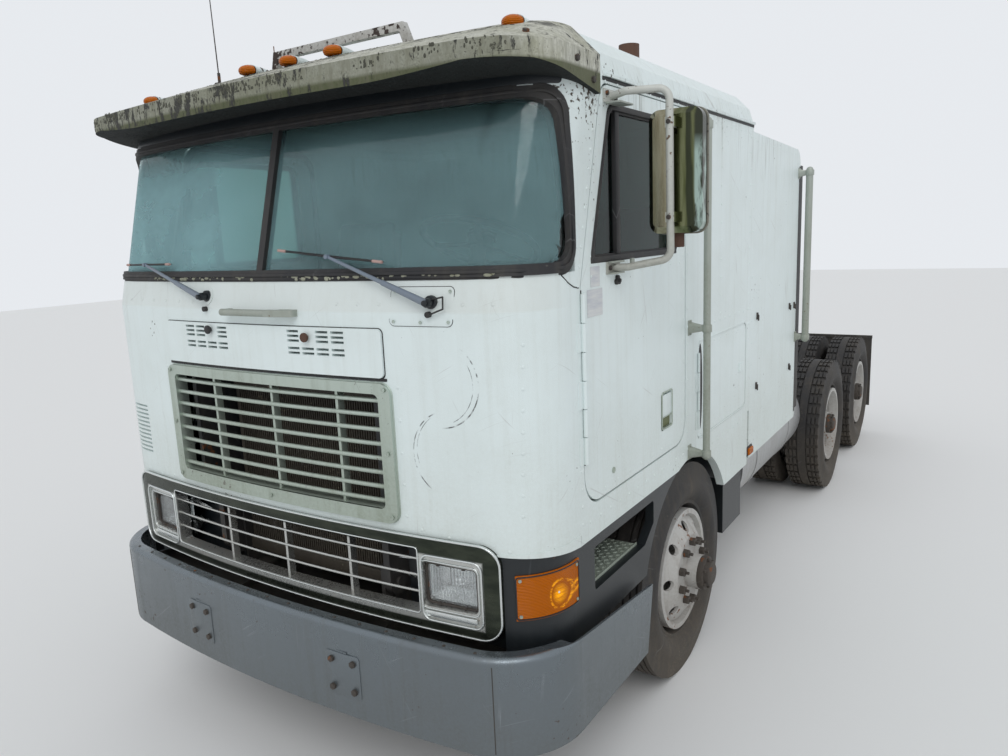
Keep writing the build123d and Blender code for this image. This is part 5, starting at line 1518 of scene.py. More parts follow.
for side, word in SIDES:
    door = f"door_{word}"
    ring = side_panel(side, PADDLE, 0.014, 0.0035, 0.01, 0.006, 0.0015, 4)
    crossbar = side_panel(side, (*CROSSBAR_Y, 1.3275, 1.3315), 0.001, 0.001, 0.004, 0, 0.0008, 2)
    finished([ring, crossbar], f"handle_frame_{word}", door, "grille_aluminium")
    tray = side_panel(side, (*TRAY_Y, 1.281, 1.327), 0.008, -0.01, 0.004, 0, 0.001, 4)
    finished(tray, f"handle_tray_{word}", door, "cab_trim", ALGAE)
    grip = side_panel(side, (*GRIP_Y, 1.334, 1.424), 0.01, -0.0005, 0.01, 0, 0.003, 4)
    finished(grip, f"handle_grip_{word}", door, "white_paint")

    lobes = []
    for turn in (90, 210, 330):
        y = LOCK[0] + LOBE_OFFSET * cos(radians(turn))
        z = LOCK[1] + LOBE_OFFSET * sin(radians(turn))
        lobes.append(side_rod(side, (DOOR_X - 0.001, DOOR_X + 0.011), y, z, 0.01, 18))
    lobes.append(side_rod(side, (DOOR_X - 0.001, DOOR_X + 0.018), *LOCK, 0.007, 18))
    finished(soften_sharp(joined(lobes), 0.0015), f"lock_rosette_{word}", door, "black_rubber")
    low_lock = side_rod(side, (DOOR_X - 0.001, DOOR_X + 0.004), 0.618, 1.244, 0.011, 24)
    pick(low_lock, "FACE", lambda part: part.normal.x * side > 0.9)
    inset(0.003, -side * 0.002, 0, 0)
    finished(low_lock, f"low_lock_{word}", door, "grille_aluminium")
    groove = side_block(side, (1.144, 1.1475), *HINGE_LINE, 0.0004)
    finished(groove, f"hinge_line_{word}", "cab", "black_rubber")

for number, outline in enumerate(LABELS, 1):
    paper = side_panel(1, outline, 0.003, 0.0012, 0.0008, 0, 0, 3)
    finished(paper, f"faded_label_{number}", "door_left", "white_paint", LABEL)
print("labels:", len(LABELS))

# %% [markdown]
# ## Mirrors
# A rolled rim holds the glass in the rear of the steel head, a pivot stands below it, and bolts clamp it
# to the tube, whose feet are bolted to the door.

# %% Rims, glasses, pivots and bolts
MIRROR = (MIRROR_TUBE_X, 0.742, 2.302)
MIRROR_SIZE = (0.19, 0.076, 0.414)
MIRROR_CLAMPS = (2.15, 2.46)
FOOT_BOLTS = ((0.602, 2.568), (0.668, 2.556), (0.604, 1.985), (0.672, 1.985))
TUBE_Y = 0.676
KNOB_X = 1.17
BRACKETS = [
    # x beyond the door's skin, distance behind the nose, z
    (0.006, 0.024, (0.592, 0.69), (2.002, 2.008)),
    (0.006, 0.024, (0.592, 0.69), (1.963, 1.969)),
    (0.006, 0.06, (0.592, 0.7), (2.532, 2.538)),
    (0.008, 0.034, (0.69, 0.765), (1.978, 1.985)),
]
RIM_STEEL = finish(
    "rim_steel", (0.17, 0.165, 0.135), DUST, 0.5, (2, 2.5), (0.04, 0.035, 0.03), 70, 0.4,
    rough=(0.3, 0.7), metal=0.6,
)


def hexagon(radius, high):
    """A bolt head on the XY plane, with a turned down top."""
    made = shape("cylinder", vertices=6, radius=radius, depth=high, location=(0, 0, high / 2))
    pick(made, "FACE", faces_up)
    inset(radius * 0.3, 0, 0, high * 0.2)
    return made


for side, word in SIDES:
    door = f"door_{word}"
    x = side * MIRROR[0]
    half_x, half_z = MIRROR_SIZE[0] / 2, MIRROR_SIZE[2] / 2
    rear = MIRROR[1] + MIRROR_SIZE[1] / 2
    outline = (x - half_x, x + half_x, MIRROR[2] - half_z, MIRROR[2] + half_z)
    rim = panel(grown(*outline, 0.004, 0.004), 0.042, 0, 0.014, 0.01, 0.003, 8)
    moved(rim, shift(0, back(rear - 0.008), 0))
    finished(rim, f"mirror_rim_{word}", door, "mirror_steel", RIM_STEEL)
    glass = panel(grown(*outline, -0.007, -0.007), 0.034, 0, 0.003, 0, 0.001, 8)
    moved(glass, shift(0, back(rear + 0.0005), 0))
    finished(glass, f"mirror_glass_{word}", door, "mirror_steel")
    pivot = soften_sharp(rod((x, back(0.757), 2.099), (x, back(0.757), 2.046), 0.02, 24), 0.004)
    stem_x = x - side * 0.01
    stem = rod((stem_x, back(0.8), 2.097), (stem_x, back(0.8), 2.07), 0.008, 14)
    finished([pivot, stem], f"mirror_pivot_{word}", door, "rusty_steel")
    spots = [on_surface((x, back(TUBE_Y - 0.012), z), (0, -1, 0)) for z in MIRROR_CLAMPS]
    spots += [on_surface((side * (DOOR_X + 0.006), back(y), z), (side, 0, 0)) for y, z in FOOT_BOLTS]
    bolts = copies(hexagon(0.0085, 0.007), spots)
    finished(bolts, f"mirror_bolts_{word}", door, "rusty_steel", "cast_parts")
    brackets = [side_block(side, (DOOR_X + low, DOOR_X + high), *row, 0.001) for low, high, *row in BRACKETS]
    brackets.append(rod((side * KNOB_X, back(0.749), 1.985), (side * KNOB_X, back(0.749), 2.012), 0.009, 14))
    finished(brackets, f"mirror_brackets_{word}", door, "rusty_steel", "rail_aluminium")
print("mirror heads are", MIRROR_SIZE, "m")

# %% [markdown]
# ## Wipers
# Each wiper is a cast hub, a blue-grey arm that narrows to its tip, and a long blade of thin bows over a
# rubber edge, with worn pink tips. The parts follow the bow of the screen and replace the plain solids.

# %% Arms, blades and hubs
# Columns: pivot x and z, inner end of the blade x and z, outer end x and z
WIPER_ROWS = (
    (0.787, 1.915, (0.105, 2.094), (0.59, 2.044)),
    (-0.3, 1.929, (-0.94, 2.054), (-0.57, 2.054)),
)
ARM_MEETS_BLADE = 0.53
BLADE_PARTS = 9
BOWS = ((1, 4), (5, 8))
ARM_PAINT = finish(
    "arm_paint", (0.17, 0.22, 0.29), DUST, 0.4, (1.9, 2.2), (0.05, 0.04, 0.04), 90, 0.2, rough=(0.35, 0.7)
)
TIP_PAINT = finish(
    "worn_tips", (0.52, 0.33, 0.3), DUST, 0.4, (1.9, 2.2), (0.1, 0.08, 0.07), 120, 0.2, rough=(0.6, 0.9)
)


def tapered(start, end, width, narrow, sides=10):
    """A rod whose far end is narrower."""
    made = rod(start, end, width, sides)
    reach = (Vector(end) - Vector(start)).length
    pick(made, "VERT", lambda part: (part.co - Vector(end)).length < reach * 0.3)
    resize((narrow / width,) * 3, end)
    return made


def stub(place, facing, low, high, radius, sides=16):
    """A rod that stands on a surface, from one distance out of it to another."""
    return rod(place + facing * low, place + facing * high, radius, sides)


def chain(places, radius, sides):
    """Rods from each place to the next."""
    return [rod(a, b, radius, sides) for a, b in zip(places, places[1:])]


def part_way(first, last, share):
    return tuple(a + (b - a) * share for a, b in zip(first, last))


arms, blades, hubs, tips = [], [], [], []
for pivot_x, pivot_z, near, far in WIPER_ROWS:
    pivot, facing = skin(pivot_x, pivot_z), skin_normal(pivot_x, pivot_z)
    stack = ((-0.004, 0.012, 0.022, 24), (0.01, 0.038, 0.015, 24), (0.03, 0.05, 0.01, 12))
    hubs.append(soften_sharp(joined([stub(pivot, facing, *row) for row in stack]), 0.0025))
    knuckle = pivot + facing * 0.036
    tip = skin(*part_way(near, far, ARM_MEETS_BLADE), 0.034)
    reach = knuckle.lerp(tip, 0.42)
    arms += [
        tapered(knuckle, reach, 0.0125, 0.0095, 12),
        tapered(reach - (tip - knuckle).normalized() * 0.006, tip, 0.0075, 0.0055, 10),
        stub(tip, facing, -0.008, 0.01, 0.008, 12),
    ]
    points = along([(near, far, BLADE_PARTS + 1)])
    for out, radius, sides in ((0.0185, 0.0042, 8), (0.0125, 0.002, 6)):
        blades += chain([skin(x, z, out) for x, z in points], radius, sides)
    tops = [skin(*part_way(points[a], points[b], 0.5), 0.03) for a, b in BOWS]
    for (a, b), top in zip(BOWS, tops):
        blades += chain([skin(*points[a], 0.021), top, skin(*points[b], 0.021)], 0.003, 8)
    blades += chain([tops[0], tip, tops[1]], 0.0035, 8)
    for a, b in ((0, 1), (-1, -2)):
        end, inner = skin(*points[a], 0.0195), skin(*points[b], 0.0195)
        tips.append(rod(end, inner.lerp(end, 0.25), 0.0052, 8))
print("wiper pieces:", len(arms) + len(blades) + len(hubs) + len(tips))
finished(arms, "wiper_arms", "cab", "black_rubber", ARM_PAINT, stands_for=["wipers"])
finished(blades, "wiper_blades", "cab", "black_rubber")
finished(hubs, "wiper_hubs", "cab", "cast_parts", "black_paint")
finished(tips, "wiper_tips", "cab", "black_rubber", TIP_PAINT)

# %% [markdown]
# ## Plates and knobs on the nose
# A screwed plate covers each wiper's spindle, and a thin hose feeds a washer nozzle under it. Two knobs hold
# the flap over the grille, one of them rusted. Black strips in the gaps round the flap, under its lower edge
# and round the square plate are painted shade.

# %% Access plates, flap edge, knobs and hose
PLATE = (0.628, 0.868, 1.838, 1.962)
ROUND_PLATE = (-0.3, 1.929)
FLAP_GAP = (-0.596, 0.596, 1.655, 1.829)
LOWER_GAP = (-0.6, 0.6, 1.648, 1.658)
FLAP_OUT = 0.01
KNOBS = ((-0.271, 1.802, "black_rubber"), (0.264, 1.791, "rusty_steel"))
PLATE_SCREWS = ((0.644, 1.852), (0.852, 1.852), (0.644, 1.948), (0.852, 1.948), (0.748, 1.85))
FRAME_SCREWS = (
    (-0.592, 1.172), (0.592, 1.172), (-0.592, 1.622), (0.592, 1.622), (0, 1.17), (-0.592, 1.4),
    (0.592, 1.4),
)
# Columns: x, z, distance out of the skin
HOSE = (
    (0.8, 1.925, 0.02), (0.838, 1.932, 0.022), (0.842, 1.895, 0.02), (0.8, 1.88, 0.014),
    (0.782, 1.876, 0.008),
)
NOZZLES = ((0.782, 1.876), (-0.3, 1.88))
HOSE_RADIUS = 0.0028
SEAM = ((0.256, 2.003), (0.272, 1.98), (0.306, 1.955), (0.34, 1.94), (0.373, 1.934))

square_plate = roll(panel(PLATE, 0.018, 0.0022, 0.003, 0, 0.0008, 5), (*PLATE[:2], 0.06))
plate_x, plate_z = ROUND_PLATE
round_plate = rod((plate_x, NOSE, plate_z), (plate_x, NOSE - 0.003, plate_z), 0.034, 32)
pick(round_plate, "FACE", lambda part: part.normal.y < -0.9)
inset(0.008)
object_mode()
for point in round_plate.data.vertices:
    point.co = skin(point.co.x, point.co.z, NOSE - point.co.y)
finished([square_plate, round_plate], "spindle_plates", "cab", "white_paint")

# Black strips set into the gaps round the flap and the plate: painted shade.
gaps = [
    panel(grown(*PLATE, 0.002, 0.002), 0.02, 0.0008, 0.002, 0.003, 0, 5),
    panel(FLAP_GAP, 0.02, 0.0012, 0.002, 0.006, 0, 5),
    panel(LOWER_GAP, 0.002, 0.0025, 0.003, 0, 0, 2),
]
finished([roll(piece, (-0.58, 0.86, 0.08)) for piece in gaps], "nose_gaps", "cab", "black_rubber")

spots = [on_surface(skin(x, z, 0.002), skin_normal(x, z), 0.7) for x, z in PLATE_SCREWS]
spots += [on_surface(skin(x, z, 0.0165), skin_normal(x, z)) for x, z in FRAME_SCREWS]
finished(copies(screw(0.008), spots), "nose_screws", "cab", "cast_parts", "grille_aluminium")

for number, (x, z, slot) in enumerate(KNOBS, 1):
    place, facing = skin(x, z, FLAP_OUT), skin_normal(x, z)
    knob = joined([stub(place, facing, 0, 0.01, 0.009), stub(place, facing, 0.009, 0.02, 0.017)])
    finished(soften_sharp(knob, 0.003), f"flap_knob_{number}", "cab", slot)

hose_points = [skin(*row) for row in HOSE]
hose = chain(hose_points, HOSE_RADIUS, 8)
for place in hose_points[1:-1]:
    hose.append(shape("uv_sphere", segments=10, ring_count=6, radius=HOSE_RADIUS, location=place))
hose += [rod(skin(x, z), skin(x, z, 0.014), 0.01, 16) for x, z in NOZZLES]
finished(hose, "washer_nozzles", "cab", "black_rubber")

seams = []
for side, word in SIDES:
    seams += chain([rolled(side * unrolled_end(z, back(y)), z, 0.0003) for y, z in SEAM], 0.0022, 6)
finished(seams, "corner_seams", "cab", "black_rubber")
print("screws on the nose:", len(spots))

# %% [markdown]
# ## Seats and bunk
# The cushions are foam in woven cloth: a slightly small closed block is blown up with Blender's cloth, its
# points are kept within a cap, and the sewn channels are pressed in afterwards.

# %% Blown cushions with sewn channels
SWELL_FRAMES = 20
PRESSURE = 4
SEAT_X = (0.548, 1.022)
SEAT_MIDDLE = (SEAT_X[0] + SEAT_X[1]) / 2
CHANNEL_X = [SEAT_MIDDLE + offset for offset in (-0.15, -0.05, 0.05, 0.15)]


def swollen(block, voxel, cap):
    """Blows a block up like a stuffed cover. No point moves further than the cap."""
    modify(block, "REMESH", mode="VOXEL", voxel_size=voxel)
    rest = [point.co.copy() for point in block.data.vertices]
    alone(block)
    cover = block.modifiers.new("cover", "CLOTH")
    cover.settings.use_pressure = True
    cover.settings.uniform_pressure_force = PRESSURE
    cover.settings.effector_weights.gravity = 0
    for number in range(1, SWELL_FRAMES + 1):
        bpy.context.scene.frame_set(number)
    bpy.ops.object.modifier_apply(modifier=cover.name)
    bpy.context.scene.frame_set(1)
    for point, start in zip(block.data.vertices, rest):
        move = point.co - start
        if move.length > cap:
            point.co = start + move * (cap / move.length)


def channels(piece, axis, places, depth, half_width, test):
    """Presses sewn lines into the faces that pass a test. The lines lie across an axis at some places."""
    piece.data.update()
    normals = [point.normal.copy() for point in piece.data.vertices]
    for point, normal in zip(piece.data.vertices, normals):
        nearest = min(abs(point.co[axis] - place) for place in places)
        if test(normal) and nearest < half_width:
            point.co -= normal * depth * (0.5 + 0.5 * cos(pi * nearest / half_width))


def pad_block(x, y, z, edge, lean=0, narrow=1):
    """A rounded block whose top leans back and narrows."""
    made = bar((x[0], back(y[0]), z[0]), (x[1], back(y[1]), z[1]))
    pick(made, "VERT", lambda part: part.co.z > (z[0] + z[1]) / 2)
    push(0, lean, 0)
    resize((narrow, 1, 1), ((x[0] + x[1]) / 2, 0, 0))
    return modify(made, "BEVEL", width=edge, segments=4)


cushion = pad_block(SEAT_X, (0.905, 1.345), (1.492, 1.616), 0.035)
swollen(cushion, 0.01, 0.018)
channels(cushion, 0, CHANNEL_X, 0.008, 0.012, lambda normal: normal.z > 0.6)
backrest = pad_block(SEAT_X, (1.318, 1.398), (1.628, 2.225), 0.032, 0.122, 0.86)
swollen(backrest, 0.01, 0.016)
channels(backrest, 0, CHANNEL_X, 0.008, 0.012, lambda normal: normal.y < -0.6)
channels(backrest, 2, [1.99], 0.01, 0.014, lambda normal: normal.y < -0.4)
for pad in (cushion, backrest):
    modify(pad, "SUBSURF", levels=1, render_levels=1)
    print("points:", len(pad.data.vertices))

for side, word in SIDES:
    for pattern, label in ((cushion, "seat_cushion"), (backrest, "seat_back")):
        one = copies(pattern.copy(), [Matrix.Scale(side, 4, (1, 0, 0))])
        stands = ["seats"] if side > 0 and label == "seat_cushion" else []
        finished(one, f"{label}_{word}", "cab", "seat_cloth", angle=60, stands_for=stands)
for pattern in (cushion, backrest):
    bpy.data.objects.remove(pattern)

# %% [markdown]
# ## What the seats and the bunk stand on
# A seat's pedestal is a box with a pleated rubber bellows. The bunk is a plain board under the vinyl
# mattress. Gauges sit in the dash, and a padded boss in the middle of the steering wheel.

# %% Pedestals, bunk board, gauges and wheel boss
MATTRESS_CHANNEL_X = [-0.84 + 0.28 * i for i in range(7)]
BELLOWS = (1.24, 1.44, 0.02)
GAUGE_RADII = (0.028, 0.046, 0.046, 0.028, 0.028)
WHEEL_PLACE = Vector((0.55, back(0.68), 2.085))
WHEEL_TILT = radians(25)

pedestals = []
foot_z, top_z, pleat = BELLOWS
for side, word in SIDES:
    low, high = on_side(side, SEAT_X[0] + 0.06, SEAT_X[1] - 0.06)
    base = modify(bar((low, back(1.02), 1.132), (high, back(1.39), foot_z)), "BEVEL", width=0.012, segments=3)
    bellows = bar((low + 0.01, back(1.03), foot_z), (high - 0.01, back(1.38), top_z))
    sliced(bellows, "Z", [foot_z + pleat * i for i in range(1, 10)])
    pick(bellows, "VERT", lambda part: round((part.co.z - foot_z) / pleat) % 2 == 1)
    resize((0.9, 0.9, 1), ((low + high) / 2, back(1.205), 1.34))
    pan = soften(bar((low - 0.05, back(0.93), top_z), (high + 0.05, back(1.41), 1.476)), 0.01)
    frame_back = bar((low - 0.03, back(1.4), 1.45), (high + 0.03, back(1.43), 2.15))
    pick(frame_back, "VERT", lambda part: part.co.z > 1.8)
    push(0, 0.105, 0)
    pedestals += [base, bellows, pan, soften(frame_back, 0.01)]
finished(pedestals, "seat_pedestals", "cab", "cab_trim")

board = soften(bar((-1.085, back(1.602), 1.601), (1.085, back(2.348), 1.624)), 0.003)
finished(board, "bunk_board", "cab", "cab_trim", stands_for=["bunk"])
mattress = pad_block((-1.07, 1.07), (1.618, 2.332), (1.627, 1.728), 0.03)
swollen(mattress, 0.014, 0.012)
channels(mattress, 0, MATTRESS_CHANNEL_X, 0.008, 0.02, lambda normal: normal.z > 0.6)
modify(mattress, "SUBSURF", levels=1, render_levels=1)
finished(mattress, "bunk_mattress", "cab", "bunk_vinyl", angle=60)

gauges = []
for i, radius in enumerate(GAUGE_RADII):
    dial = rod((0, 0, 0), (0, 0, 0.006), radius, 28)
    pick(dial, "FACE", faces_up)
    inset(radius * 0.14, 0, 0, -0.003)
    gauges.append(copies(dial, [on_surface((0.37 + 0.092 * i, back(0.457), 1.918), (0, 0.978, 0.2095))]))
finished(gauges, "dash_gauges", "cab", "black_paint")

boss = shape("cylinder", vertices=24, radius=0.06, depth=0.012)
modify(boss, "BEVEL", width=0.004, segments=3, limit_method="ANGLE")
pick(boss, "FACE", faces_up)
inset(0.02, 0, 0, 0.01)
axis = Vector((0, sin(WHEEL_TILT), cos(WHEEL_TILT)))
finished(copies(boss, [on_surface(WHEEL_PLACE + axis * 0.024, axis)]), "wheel_boss", "cab", "cab_trim")
print("gauges:", len(gauges))

# %% [markdown]
# ## Finding a surface
# Small things must sit on curved solids. A ray that is cast onto one named solid gives the place and the
# way the surface faces there.

# %% Rays onto a solid
UP = Vector((0, 0, 1))


def hit(node, start, direction):
    """Where a ray meets a solid, and the normal there. None if it misses."""
    found, place, normal, face = nodes[node].ray_cast(Vector(start), Vector(direction))
    return (place, normal) if found else None


def down_onto(node, x, y):
    return hit(node, (x, back(y), 4), (0, 0, -1))


def rearwards_onto(node, x, z):
    return hit(node, (x, back(-1), z), (0, 1, 0))


def stand_on(hits):
    """Matrices for pieces that stand where rays met a solid. Rays that missed are left out."""
    return [on_surface(*spot) for spot in hits if spot]


print("roof at the middle:", down_onto("roof", 0, 1.2)[0].z)

# %% [markdown]
# ## Visor and roof
# Black lichen stands proud on the visor in ragged clumps, most of it ahead of the passenger. Bolts go through
# the visor's ends, a drip rail runs over each door with a black strip under it that is painted shade in the
# gutter, and aerials stand on the roof.

# %% Lichen clumps, visor bolts, drip rails and aerial
LICHEN = finish(
    "lichen", (0.05, 0.05, 0.042), (0.13, 0.13, 0.09), 0.9, (2.5, 2.8), (0.25, 0.25, 0.19), 240, 0.45,
    rough=(0.92, 1), peel=1, depth=0.002,
)
# Columns: lowest and highest x, lowest and highest z, how many nests
NESTS = ((-1.02, 0.25, 2.632, 2.668, 26), (0.3, 1.05, 2.63, 2.665, 6))
TUFTS_IN_NEST = 16
TUFTS_ON_TOP = 110
dice = random.Random(21)
nests = []
for low, high, z_low, z_high, count in NESTS:
    nests += [(dice.uniform(low, high), dice.uniform(z_low, z_high)) for i in range(count)]
tufts = []
for x, z in nests:
    for i in range(TUFTS_IN_NEST):
        place_x = x + dice.gauss(0, 0.026)
        spot = rearwards_onto("visor", place_x, min(2.674, max(2.624, z + dice.gauss(0, 0.012))))
        if spot and spot[1].y < -0.4:
            tufts.append(on_surface(*spot, dice.uniform(0.35, 1.1)) @ Matrix.Diagonal((1, 1.6, 0.42, 1)))
for i in range(TUFTS_ON_TOP):
    x = dice.uniform(-1.05, 1.05)
    spot = down_onto("visor", x, 0.275 + 0.012 * dice.random())
    if spot and spot[1].z > 0.1:
        tufts.append(on_surface(*spot, dice.uniform(0.3, 0.9)) @ Matrix.Diagonal((1.5, 1, 0.5, 1)))
tuft = modify(shape("ico_sphere", subdivisions=1, radius=0.0055), "SUBSURF", levels=1, render_levels=1)
finished(copies(tuft, tufts), "visor_lichen", "cab", "visor_paint", LICHEN, angle=60)

VISOR_BOLTS = ((0.47, 2.59), (0.36, 2.64), (0.2, 2.7))
spots = stand_on([
    hit("visor", (side * 1.6, back(y), z), (-side, 0, 0)) for side, word in SIDES for y, z in VISOR_BOLTS
])
finished(copies(hexagon(0.011, 0.008), spots), "visor_bolts", "cab", "rusty_steel", "cast_parts")

LIP_LOW, LIP_HIGH, LIP_HALF = 2.596, 2.64, 1.1
LIP_STRAIGHT = 0.6
LIP_PARTS = 64
strip = bar((-LIP_HALF, -0.002, LIP_LOW), (LIP_HALF, 0.002, LIP_HIGH))
sliced(strip, "X", [-LIP_HALF + 2 * LIP_HALF * (i + 1) / LIP_PARTS for i in range(LIP_PARTS - 1)])
for point in strip.data.vertices:
    front = rearwards_onto("visor", round(point.co.x, 4), 2.636)[0].y
    point.co.y += front + 0.0035 * (LIP_HIGH - point.co.z) / (LIP_HIGH - LIP_LOW) - 0.001
    fade = max(0, (abs(point.co.x) - LIP_STRAIGHT) / (LIP_HALF - LIP_STRAIGHT)) ** 1.5
    point.co.z += fade * (LIP_HIGH - 0.003 - point.co.z)
finished(soften_sharp(strip, 0.001), "visor_lip", "cab", "visor_paint")

# A black strip under each drip rail: painted shade in the gutter.
rails, gutter_shade = [], []
for side, word in SIDES:
    rails.append(side_block(side, (1.14, 1.1545), (0.6, 2.388), (2.6205, 2.627)))
    rails.append(side_block(side, (1.151, 1.1545), (0.6, 2.388), (2.626, 2.633), 0.0012))
    gutter_shade.append(side_block(side, (1.14, 1.1475), (0.58, 2.387), (2.608, 2.6206), 0.001))
finished(rails, "drip_rails", "cab", "white_paint")
finished(gutter_shade, "gutter_joints", "cab", "black_rubber")

AERIAL_TOP = 3.26
foot = down_onto("roof", -0.581, 0.4)[0]
second = down_onto("roof", -0.245, 0.42)[0]
base = stub(foot, UP, -0.004, 0.022, 0.022, 24)
aerials = [
    modify(base, "BEVEL", width=0.006, segments=3, limit_method="ANGLE"),
    tapered(foot + UP * 0.02, (foot.x - 0.01, foot.y, AERIAL_TOP), 0.0028, 0.0018, 8),
    stub(foot, UP, 0.02, 0.062, 0.0065, 12),
    stub(second, UP, -0.004, 0.014, 0.014, 20),
    stub(second, UP, 0.012, 0.11, 0.002, 8),
]
finished(aerials, "aerials", "cab", "black_rubber", "cast_parts")

foot_plate = soften(bar((-0.034, -0.03, -0.001), (0.034, 0.03, 0.004)), 0.0015)
corners = [shift(x, y, 0.004) for x in (-0.024, 0.024) for y in (-0.02, 0.02)]
bar_foot = joined([foot_plate, copies(hexagon(0.007, 0.006), corners)])
feet = copies(bar_foot, stand_on([down_onto("roof", x, 0.345) for x in (-0.158, 0.53)]))
finished(feet, "roof_bar_feet", "cab", "white_paint", FLAKING_WHITE)
print("clumps on the visor:", len(tufts), "bolts:", len(spots))

# %% [markdown]
# ## Poles, slots and latches on the sides
# Each pole passes through cast collars whose feet are screwed to the cab. The luggage door's edge has sprung
# open, and a flat black patch on it is painted shade in the opening. Small latches hold the fairings.

# %% Collars, feet, slots, latches and markers
# Columns: x, distance behind the nose, radius, heights of the collars, x of the skin
POLES = ((1.225, 1.418, 0.016, (1.1, 1.672, 2.53), 1.145), (1.208, 3.452, 0.022, (1.358, 2.417), 1.142))
collars = []
for side, word in SIDES:
    for x, y, radius, levels, skin_x in POLES:
        for z in levels:
            ring = rod((side * x, back(y), z - 0.017), (side * x, back(y), z + 0.017), radius + 0.005, 24)
            arm = side_block(side, (skin_x, x - 0.008), (y - 0.009, y + 0.009), (z - 0.012, z + 0.012), 0.004)
            pick(arm, "VERT", lambda part: abs(part.co.x) < skin_x + 0.006)
            resize((1, 2, 2.1), (0, back(y), z))
            plate_x = (skin_x - 0.001, skin_x + 0.004)
            plate = side_block(side, plate_x, (y - 0.02, y + 0.02), (z - 0.034, z + 0.034), 0.0018)
            places = [(side * plate_x[1], back(y), z + dz) for dz in (-0.026, 0.026)]
            bolts = copies(hexagon(0.006, 0.005), [on_surface(place, (side, 0, 0)) for place in places])
            collars += [soften_sharp(ring, 0.003), arm, plate, bolts]
        for z in (min(levels) - 0.012, max(levels) + 0.015):
            place = (side * x, back(y), z)
            collars.append(shape("uv_sphere", segments=20, ring_count=10, radius=radius, location=place))
print("pieces of the collars:", len(collars))
finished(collars, "pole_collars", "cab", "rail_aluminium")

SLOT = (1.566, 1.376)
SLOT_HALF = (0.03, 0.204)
# A flat black patch on the sprung edge: painted shade in the opening.
for side, word in SIDES:
    face = abs(hit(f"luggage_door_{word}", (side * 1.6, back(SLOT[0]), SLOT[1]), (-side, 0, 0))[0].x)
    slot_piece = side_rod(side, (face - 0.0004, face + 0.0012), *SLOT, 0.1, 40)
    pick(slot_piece)
    size = (1, SLOT_HALF[0] / 0.1, SLOT_HALF[1] / 0.1)
    resize(size, (0, back(SLOT[0]), SLOT[1]))
    finished(slot_piece, f"hatch_slot_{word}", f"hatch_{word}", "black_rubber")

# Columns: x, distance behind the nose, z, softened edge
MARKER_LENS = ((1.146, 1.16), (2.356, 2.44), (0.828, 0.868), 0.008)
MARKER_BODY = ((1.14, 1.148), (2.348, 2.448), (0.821, 0.875), 0.003)
FAIRING_RUBBER = (
    ((1.119, 1.1335), (3.4905, 3.6008), (0.849, 2.471), 0.003),
    ((1.142, 1.1432), (3.462, 3.49), (0.84, 2.46), 0.0005),
)
HATCH_BEADS = [((1.1436, 1.1472), (1.545, 2.285), (z + 0.001, z + 0.0085), 0.0012) for z in (1.5905, 1.1262)]
LATCHES = []
for y, z in ((3.274, 1.58), (3.4, 1.574), (2.52, 1.6), (2.52, 1.2), (3.3, 1.18)):
    LATCHES.append(((1.1415, 1.15), (y - 0.01, y + 0.01), (z - 0.02, z + 0.02), 0.003))
    LATCHES.append(((1.149, 1.156), (y - 0.005, y + 0.005), (z - 0.026, z + 0.008), 0.002))
for name, slot, rows in (
    ("fairing_latches", "cast_parts", LATCHES), ("side_marker_lenses", "amber_lens", [MARKER_LENS]),
    ("side_marker_bodies", "black_rubber", [MARKER_BODY]), ("fairing_rubber", "black_rubber", FAIRING_RUBBER),
    ("hatch_beads", "white_paint", HATCH_BEADS),
):
    finished([side_block(side, *row) for side, word in SIDES for row in rows], name, "cab", slot)
print("blocks of the latches on a side:", len(LATCHES))

# %% [markdown]
# ## Steps and bumper
# The step inside each black corner is checker plate: small raised lozenges with a folded bright edge. The
# bumper carries dark rivets, and a seam shows where its end cap begins.

# %% Checker plate, bright edges, bumper rivets and seams
STEP_X = (0.885, 1.1)
STEP_Y = (0.458, 0.9)
STEP_TOP = 0.838
STEP_PITCH = 0.021


def lattice(x, y, z, pitch, columns, rows, side=1):
    """Matrices of lozenges that lie this way and that by turns, from the first one's place."""
    return [
        shift(side * (x + pitch * i), y + pitch * j, z)
        @ Matrix.Rotation(radians(45 if (i + j) % 2 else -45), 4, "Z")
        for i in range(columns)
        for j in range(rows)
    ]


lozenge = shape("cylinder", vertices=4, radius=0.0105, depth=0.004)
pick(lozenge, "FACE", faces_up)
resize((0.55, 0.55, 1))
moved(lozenge, Matrix.Diagonal((1, 0.42, 1, 1)))
across = int((STEP_X[1] - STEP_X[0]) / STEP_PITCH)
deep = int((STEP_Y[1] - STEP_Y[0]) / STEP_PITCH)
spots, plates = [], []
for side, word in SIDES:
    start = (STEP_X[0] + 0.012, back(STEP_Y[0] + 0.012), STEP_TOP + 0.002)
    spots += lattice(*start, STEP_PITCH, across, deep, side)
    x, y = (STEP_X[0] - 0.003, STEP_X[1] + 0.003), (STEP_Y[0] - 0.004, STEP_Y[1] + 0.003)
    plates.append(side_block(side, x, y, (STEP_TOP - 0.002, STEP_TOP + 0.0006), 0.0004))
    plates.append(side_block(side, (1.1035, 1.1095), STEP_Y, (STEP_TOP - 0.016, STEP_TOP + 0.01), 0.002))
finished([copies(lozenge, spots), *plates], "step_plates", "cab", "grille_aluminium")

